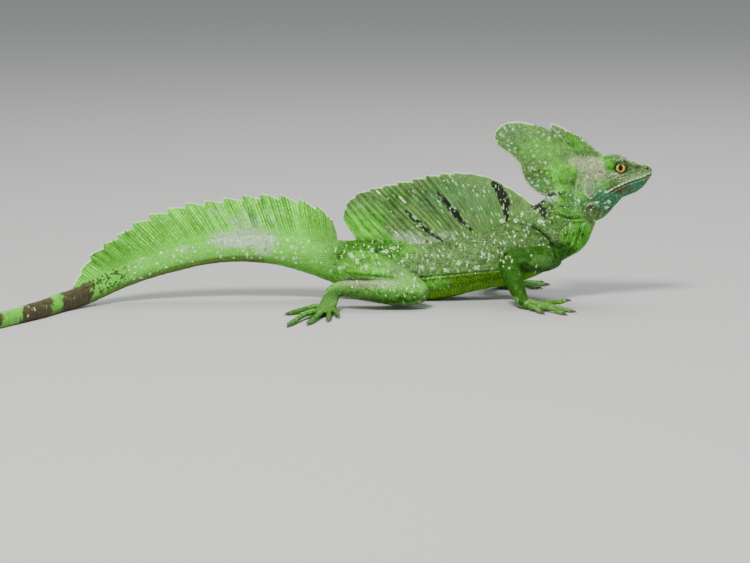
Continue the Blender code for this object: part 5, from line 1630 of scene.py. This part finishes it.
looseScales = {
    # where they lie, their sizes, direction and chart, seed, height as a share of the size, contrast of the
    # tones and of the painted shade and highlight
    "headScales": (headPlaces, headSizes, headAhead, headChart, 81, 0.22, 0.42, headPale),
    "crestScales": (onCrest, evenSize(1.06), crestAhead, crestChart, 82, 0.17, 0.28),
    "ridgeScales": (onRidge, evenSize(1.08), crestAhead, pawChart, 85, 0.18, 0.25),
    "pawScales": (pawPlaces, evenSize(1.15), pawAhead, pawChart, 83, 0.18, 0.25),
}
for name, row in looseScales.items():
    layLoose(name, *row)


# height from the mouth, length and height of the shields over the mouth and under it
lipShields = {"rows": ((1.0, 2.3, 1.25), (-1.15, 2.5, 1.35)), "front": 188.4, "thick": 0.24}


def layLips():
    points, sizes, charts = [], [], []
    for lift, length, tall in lipShields["rows"]:
        places = np.arange(head["mouthCorner"] + 0.8, lipShields["front"], length)
        mouth, wide = headLine(places, mouthColumn), headLine(places, lipColumn)
        for flank in (-1, 1):
            points.append(asRows(places, flank * wide, mouth + lift))
            sizes.append(np.tile((length * 1.04, tall, lipShields["thick"]), (len(places), 1)))
            band = np.full(len(places), 0.25 + 0.25 * flank + 0.1 * lift)
            charts.append(asRows((places - 158) / 34, band))
    points, sizes, charts = (np.concatenate(part) for part in (points, sizes, charts))
    roots, normals, near = ontoSkin(points, 1.6)
    roots, normals, sizes, charts = picked(near, roots, normals, sizes, charts)
    slopes = np.gradient(headRows[:, mouthColumn], headRows[:, 0])
    slope = np.interp(roots[:, 0], headRows[:, 0], slopes)
    ahead = -asRows(np.ones(len(roots)), np.zeros(len(roots)), slope)
    above = roots[:, 2] > headLine(roots[:, 0], mouthColumn)
    pale = np.where(above, 0.20 + 0.70 * randomOf((roots * 9).astype(np.int64), 87), 0.05)
    makePlates("lipShields", "square", roots, normals, ahead, sizes, charts, markingsAndShading(roots), "scales",
               scaleTones(roots, 84, 0.15), pale, 0.35)


layLips()


def laySail(name, form, pitch, wideShare, paintedShading, seed):    # one row of scales along each ray, on both faces
    columns, rows = form["left"].shape[:2]
    perLane = (columns - 1) / (form["teeth"] * form["lanes"])
    sites = []
    for lane in range(form["teeth"] * form["lanes"]):
        column = (lane + 0.5) * perLane
        reach = form["height"][int(column), -1]
        heights = np.arange(3.6 + pitch * (lane * 0.618 % 1.0), reach - sails["rimWidth"] * 1.6, pitch)
        shifts = asRows(np.full(len(heights), lane), np.arange(len(heights)))
        heights = heights + (randomOf(shifts, seed + 6) - 0.5) * pitch * 0.5
        sites += [(column, value / reach) for value in heights]
    column, share = np.array(sites).T
    i, j = column.astype(int), np.minimum(share * (rows - 1), rows - 1.001).astype(int)
    s, t = (column - i)[:, None], (share * (rows - 1) - j)[:, None]
    parts = []
    for sign, face in ((-1, form["left"]), (1, form["right"])):
        low = face[i, j] * (1 - s) + face[i + 1, j] * s
        high = face[i, j + 1] * (1 - s) + face[i + 1, j + 1] * s
        across = face[i + 1, j] - face[i, j]
        normal = unit(np.cross(across, high - low))
        outward = (form["right"] - form["left"])[i, j] * sign
        normal *= np.where(np.sum(normal * outward, axis=1) < 0, -1, 1)[:, None]
        wide = np.linalg.norm(across, axis=1) * perLane
        chart = asRows(column / (columns - 1), share * 0.48 + 0.25 + 0.25 * sign)
        parts.append((low * (1 - t) + high * t, normal, unit(high - low), wide, chart, column,
                      share * form["height"][i, -1], np.full(len(column), (sign + 1) / 2)))
    joined = [np.concatenate(part) for part in zip(*parts)]
    roots, normals, aheads, wide, chart, column, height, onRight = joined
    keep = wide > 0.45
    roots, normals, aheads, wide, chart = picked(keep, roots, normals, aheads, wide, chart)
    sizes = asRows(np.full(len(roots), pitch * 1.12), np.clip(wide * wideShare, 0.3, 1.7),
                   np.full(len(roots), 0.13))
    tones = sailTone(form, form["place"][column[keep].astype(int)], height[keep], onRight[keep], seed)
    makePlates(name, "keeled", roots, normals, aheads, sizes, chart,
               markingsAndShading(roots, sail=np.ones(len(roots))),
               "sail", form["bright"] * 1.16 * tones * scaleTones(roots, seed, 0.14), None,
               paintedShading)


laySail("backSailScales", backForm, 1.25, 0.84, 0.20, 44)
laySail("tailSailScales", tailForm, 2.1, 0.76, 0.12, 47)


# Eyes
def makeIrisGroup():    # from the angle off the gaze and the turn about it to the iris's colours
    tree, given, out = newGroup(
        "irisPattern",
        [("Place", "NodeSocketColor", (0, 0, 0, 1)), ("Oval", "NodeSocketFloat", 0.0),
         ("Pupil", "NodeSocketFloat", eye["pupilAngle"]), ("Iris", "NodeSocketFloat", eye["irisAngle"]),
         ("Gold", "NodeSocketColor", (0.78, 0.58, 0.085, 1.0)),
         ("Amber", "NodeSocketColor", (0.42, 0.25, 0.015, 1.0))],
        [("Colour", "NodeSocketColor")])
    split = tree.nodes.new("ShaderNodeSeparateColor")
    tree.links.new(given.outputs["Place"], split.inputs[0])
    angle = mathNode(tree, "MULTIPLY", split.outputs[0], 90.0)
    joined = tree.nodes.new("ShaderNodeCombineXYZ")
    tree.links.new(split.outputs[1], joined.inputs[0])
    tree.links.new(split.outputs[2], joined.inputs[1])
    streaks = tree.nodes.new("ShaderNodeTexNoise")
    streaks.inputs["Scale"].default_value = 16.0
    streaks.inputs["Detail"].default_value = 4.0
    tree.links.new(joined.outputs[0], streaks.inputs["Vector"])
    wobble = mathNode(tree, "MULTIPLY", mathNode(tree, "SUBTRACT", streaks.outputs[0], 0.5), 8.0)
    ragged = mathNode(tree, "ADD", angle, wobble)
    across = mathNode(tree, "MULTIPLY", mathNode(tree, "SUBTRACT", ragged, given.outputs["Pupil"]), 0.034)
    patchy = mathNode(tree, "ADD", across, mathNode(tree, "SUBTRACT", streaks.outputs[0], 0.5), True)
    gold = mixNode(tree, patchy, given.outputs["Gold"], given.outputs["Amber"])
    outward = mathNode(tree, "SUBTRACT", ragged, given.outputs["Iris"])
    rim = mathNode(tree, "ADD", mathNode(tree, "MULTIPLY", outward, 0.16), 1.0, True)
    ringed = mixNode(tree, rim, gold, (0.020, 0.012, 0.006, 1.0))
    oval = mathNode(tree, "MULTIPLY", given.outputs["Oval"], 90.0)
    inward = mathNode(tree, "SUBTRACT", given.outputs["Pupil"], oval)
    pupil = mathNode(tree, "ADD", mathNode(tree, "MULTIPLY", inward, 0.7), 0.5, True)
    final = mixNode(tree, pupil, ringed, (0.004, 0.004, 0.004, 1.0))
    tree.links.new(final, out.inputs["Colour"])
    return tree


irisPattern = makeIrisGroup()
eyeMaterial = plainMaterial("eyeSurface", {
    "Roughness": 0.30, "Specular IOR Level": 0.10, "Coat Weight": 0.14, "Coat Roughness": 0.05})
eyeTree = eyeMaterial.node_tree
eyeReader = eyeTree.nodes.new("ShaderNodeAttribute")
eyeReader.attribute_name = "gazePlace"
eyeColours = eyeTree.nodes.new("ShaderNodeGroup")
eyeColours.node_tree = irisPattern
eyeTree.links.new(eyeReader.outputs["Color"], eyeColours.inputs["Place"])
eyeTree.links.new(eyeReader.outputs["Alpha"], eyeColours.inputs["Oval"])
eyeTree.links.new(eyeColours.outputs["Colour"], eyeTree.nodes["Principled BSDF"].inputs["Base Color"])


def makeEye(name, flank, node):
    gaze = unit(np.array(eye["gaze"]) * (1, flank, 1))
    first = unit(np.cross(gaze, (0.0, 0.0, 1.0)))
    second = np.cross(gaze, first)
    sides = 64
    polar = np.linspace(0, math.pi, 49)[1:-1]
    turn = 2 * math.pi * np.arange(sides) / sides
    dome = eye["radius"] + 0.22 * np.exp(-(np.degrees(polar) / 30.0) ** 4)
    rings = (np.outer(np.cos(polar) * dome, np.ones(sides))[..., None] * gaze +
             np.outer(np.sin(polar) * dome, np.cos(turn))[..., None] * first +
             np.outer(np.sin(polar) * dome, np.sin(turn))[..., None] * second)
    verts, quads, tris = loft(rings)
    centre = np.array(eye["centre"]) * (1, flank, 1)
    piece = buildObject(name, verts + centre, [quads, tris])
    away = unit(verts)
    degrees = np.degrees(np.arccos(np.clip(away @ gaze, -1, 1)))
    flat = unit(asRows(away @ first, away @ second, np.full(len(away), 1e-6)))
    oval = np.clip(degrees * np.hypot(flat[:, 0] / 0.86, flat[:, 1] / 1.16) / 90.0, 0, 1)
    place = asRows(np.clip(degrees / 90.0, 0, 1), flat[:, 0] * 0.5 + 0.5, flat[:, 1] * 0.5 + 0.5, oval)
    layer = piece.data.attributes.new("gazePlace", "FLOAT_COLOR", "POINT")
    layer.data.foreach_set("color", place.astype(np.float32).ravel())
    dress(piece, eyeMaterial, [node])
    print(name + ":", len(quads) + len(tris), "faces")


makeEye("eyeRight", -1, "eye_right")
makeEye("eyeLeft", 1, "eye_left")


# Wisps of shed skin that hang from the jaw and throat
wisps = [
    # x, y, z and radius along each strip
    [(166.6, -6.2, 57.4, 0.20), (166.0, -7.2, 55.2, 0.30), (164.6, -7.6, 52.8, 0.24),
     (164.4, -7.4, 50.8, 0.12)],
    [(152.8, -7.6, 50.6, 0.22), (155.6, -8.8, 48.6, 0.30), (156.6, -9.2, 45.4, 0.26),
     (154.8, -9.0, 42.4, 0.12)],
    [(170.0, -4.6, 62.6, 0.20), (172.4, -6.4, 60.6, 0.26), (174.6, -6.8, 60.2, 0.12)],
]
wispForms = [loft(sweepRings([(*row, row[3] * 0.6) for row in smoothPath(strip, 6)], 8)) for strip in wisps]
wispPiece = buildObject("shedWisps", *gather(wispForms))
shedSkin = plainMaterial("shedSkin", {"Base Color": (0.62, 0.64, 0.50, 1.0), "Roughness": 0.7})
dress(wispPiece, shedSkin)
print("shedWisps:", len(wispPiece.data.polygons), "faces")


# Claws
claw = {
    # shares of the claw's length, and its drop and width as shares of the digit's radius
    "profile": [(-0.10, 0.0, 0.74), (0.18, 0.10, 0.64), (0.42, 0.10, 0.50), (0.66, -0.02, 0.35),
                (0.86, -0.30, 0.20), (1.0, -0.62, 0.06)],
    "lowest": 0.30,
    "flatness": 0.80,
    "horn": {"Base Color": (0.085, 0.060, 0.036, 1.0), "Roughness": 0.32, "Coat Weight": 0.3},
}


def makeClaws():
    forms = []
    for side in limbs.values():
        for digits, radius in (("fingers", digit["fingerRadius"]), ("toes", digit["toeRadius"])):
            for row in side[digits]:
                path, ahead = digitPath(row, radius)
                base = path[-1]
                curve = []
                for reach, drop, width in smoothPath(claw["profile"], 4):
                    height = max(base[2] + radius * 0.8 * drop, claw["lowest"])
                    place = base[:3] + ahead * (reach * digit["claw"])
                    thick = radius * width * claw["flatness"]
                    curve.append((place[0], place[1], height, thick, radius * width))
                forms.append(loft(sweepRings(np.array(curve), 16, (0.0, 0.0, 1.0))))
    piece = buildObject("claws", *gather(forms))
    dress(piece, plainMaterial("horn", claw["horn"]))
    print("claws:", len(piece.data.polygons), "faces")


makeClaws()


# Stage
stage = {
    "floorHalf": 20,         # metres
    "floor": {"Base Color": (0.46, 0.46, 0.45, 1.0), "Roughness": 0.75},
    "sky": {"Color": (0.93, 0.97, 1.0, 1.0), "Strength": 0.46},
    "middle": (40.0, 0.0, 40.0),
    # metres from the middle, size, power, colour
    "lights": {
        "key": ((-0.35, -0.85, 1.30), 0.45, 34.0, (1.0, 0.985, 0.95)),
        "fill": ((1.2, -1.0, 0.5), 1.0, 5.5, (0.93, 0.97, 1.0)),
        "top": ((0.3, 0.7, 1.3), 0.8, 13.0, (1.0, 1.0, 1.0)),
    },
}
view = {"target": (18.6, 0.0, 10.8), "distance": 1.8, "width": 0.465, "sensor": 36.0}


def link(name, data):
    made = bpy.data.objects.new(name, data)
    bpy.context.scene.collection.objects.link(made)
    return made


half = stage["floorHalf"]
floorMesh = bpy.data.meshes.new("floor")
corners = [(-half, -half, 0), (half, -half, 0), (half, half, 0), (-half, half, 0)]
floorMesh.from_pydata(corners, [], [(0, 1, 2, 3)])
floorMesh.materials.append(plainMaterial("paleFloor", stage["floor"]))
floorPiece = link("floor", floorMesh)

world = bpy.data.worlds.new("studio")
bpy.context.scene.world = world
world.use_nodes = True
for label, value in stage["sky"].items():
    world.node_tree.nodes["Background"].inputs[label].default_value = value
middle = Vector(shift) + Vector(stage["middle"]) * mm
for name, (place, size, power, colour) in stage["lights"].items():
    light = bpy.data.lights.new(name, "AREA")
    light.shape = "DISK"
    light.size = size
    light.energy = power
    light.color = colour
    lamp = link(name, light)
    lamp.location = middle + Vector(place)
    lamp.rotation_euler = (middle - lamp.location).to_track_quat("-Z", "Y").to_euler()

tilt = math.radians(photo["elevation"])
look = Vector((0.0, math.cos(tilt), -math.sin(tilt)))
lens = bpy.data.cameras.new("camera")
lens.sensor_width = view["sensor"]
lens.lens = view["sensor"] * view["distance"] / view["width"]
lens.clip_end = 60.0
camera = link("camera", lens)
camera.location = Vector(shift) + Vector(view["target"]) * mm - look * view["distance"]
camera.rotation_euler = look.to_track_quat("-Z", "Y").to_euler()
bpy.context.scene.camera = camera
print("stage:", len(stage["lights"]), "lights")
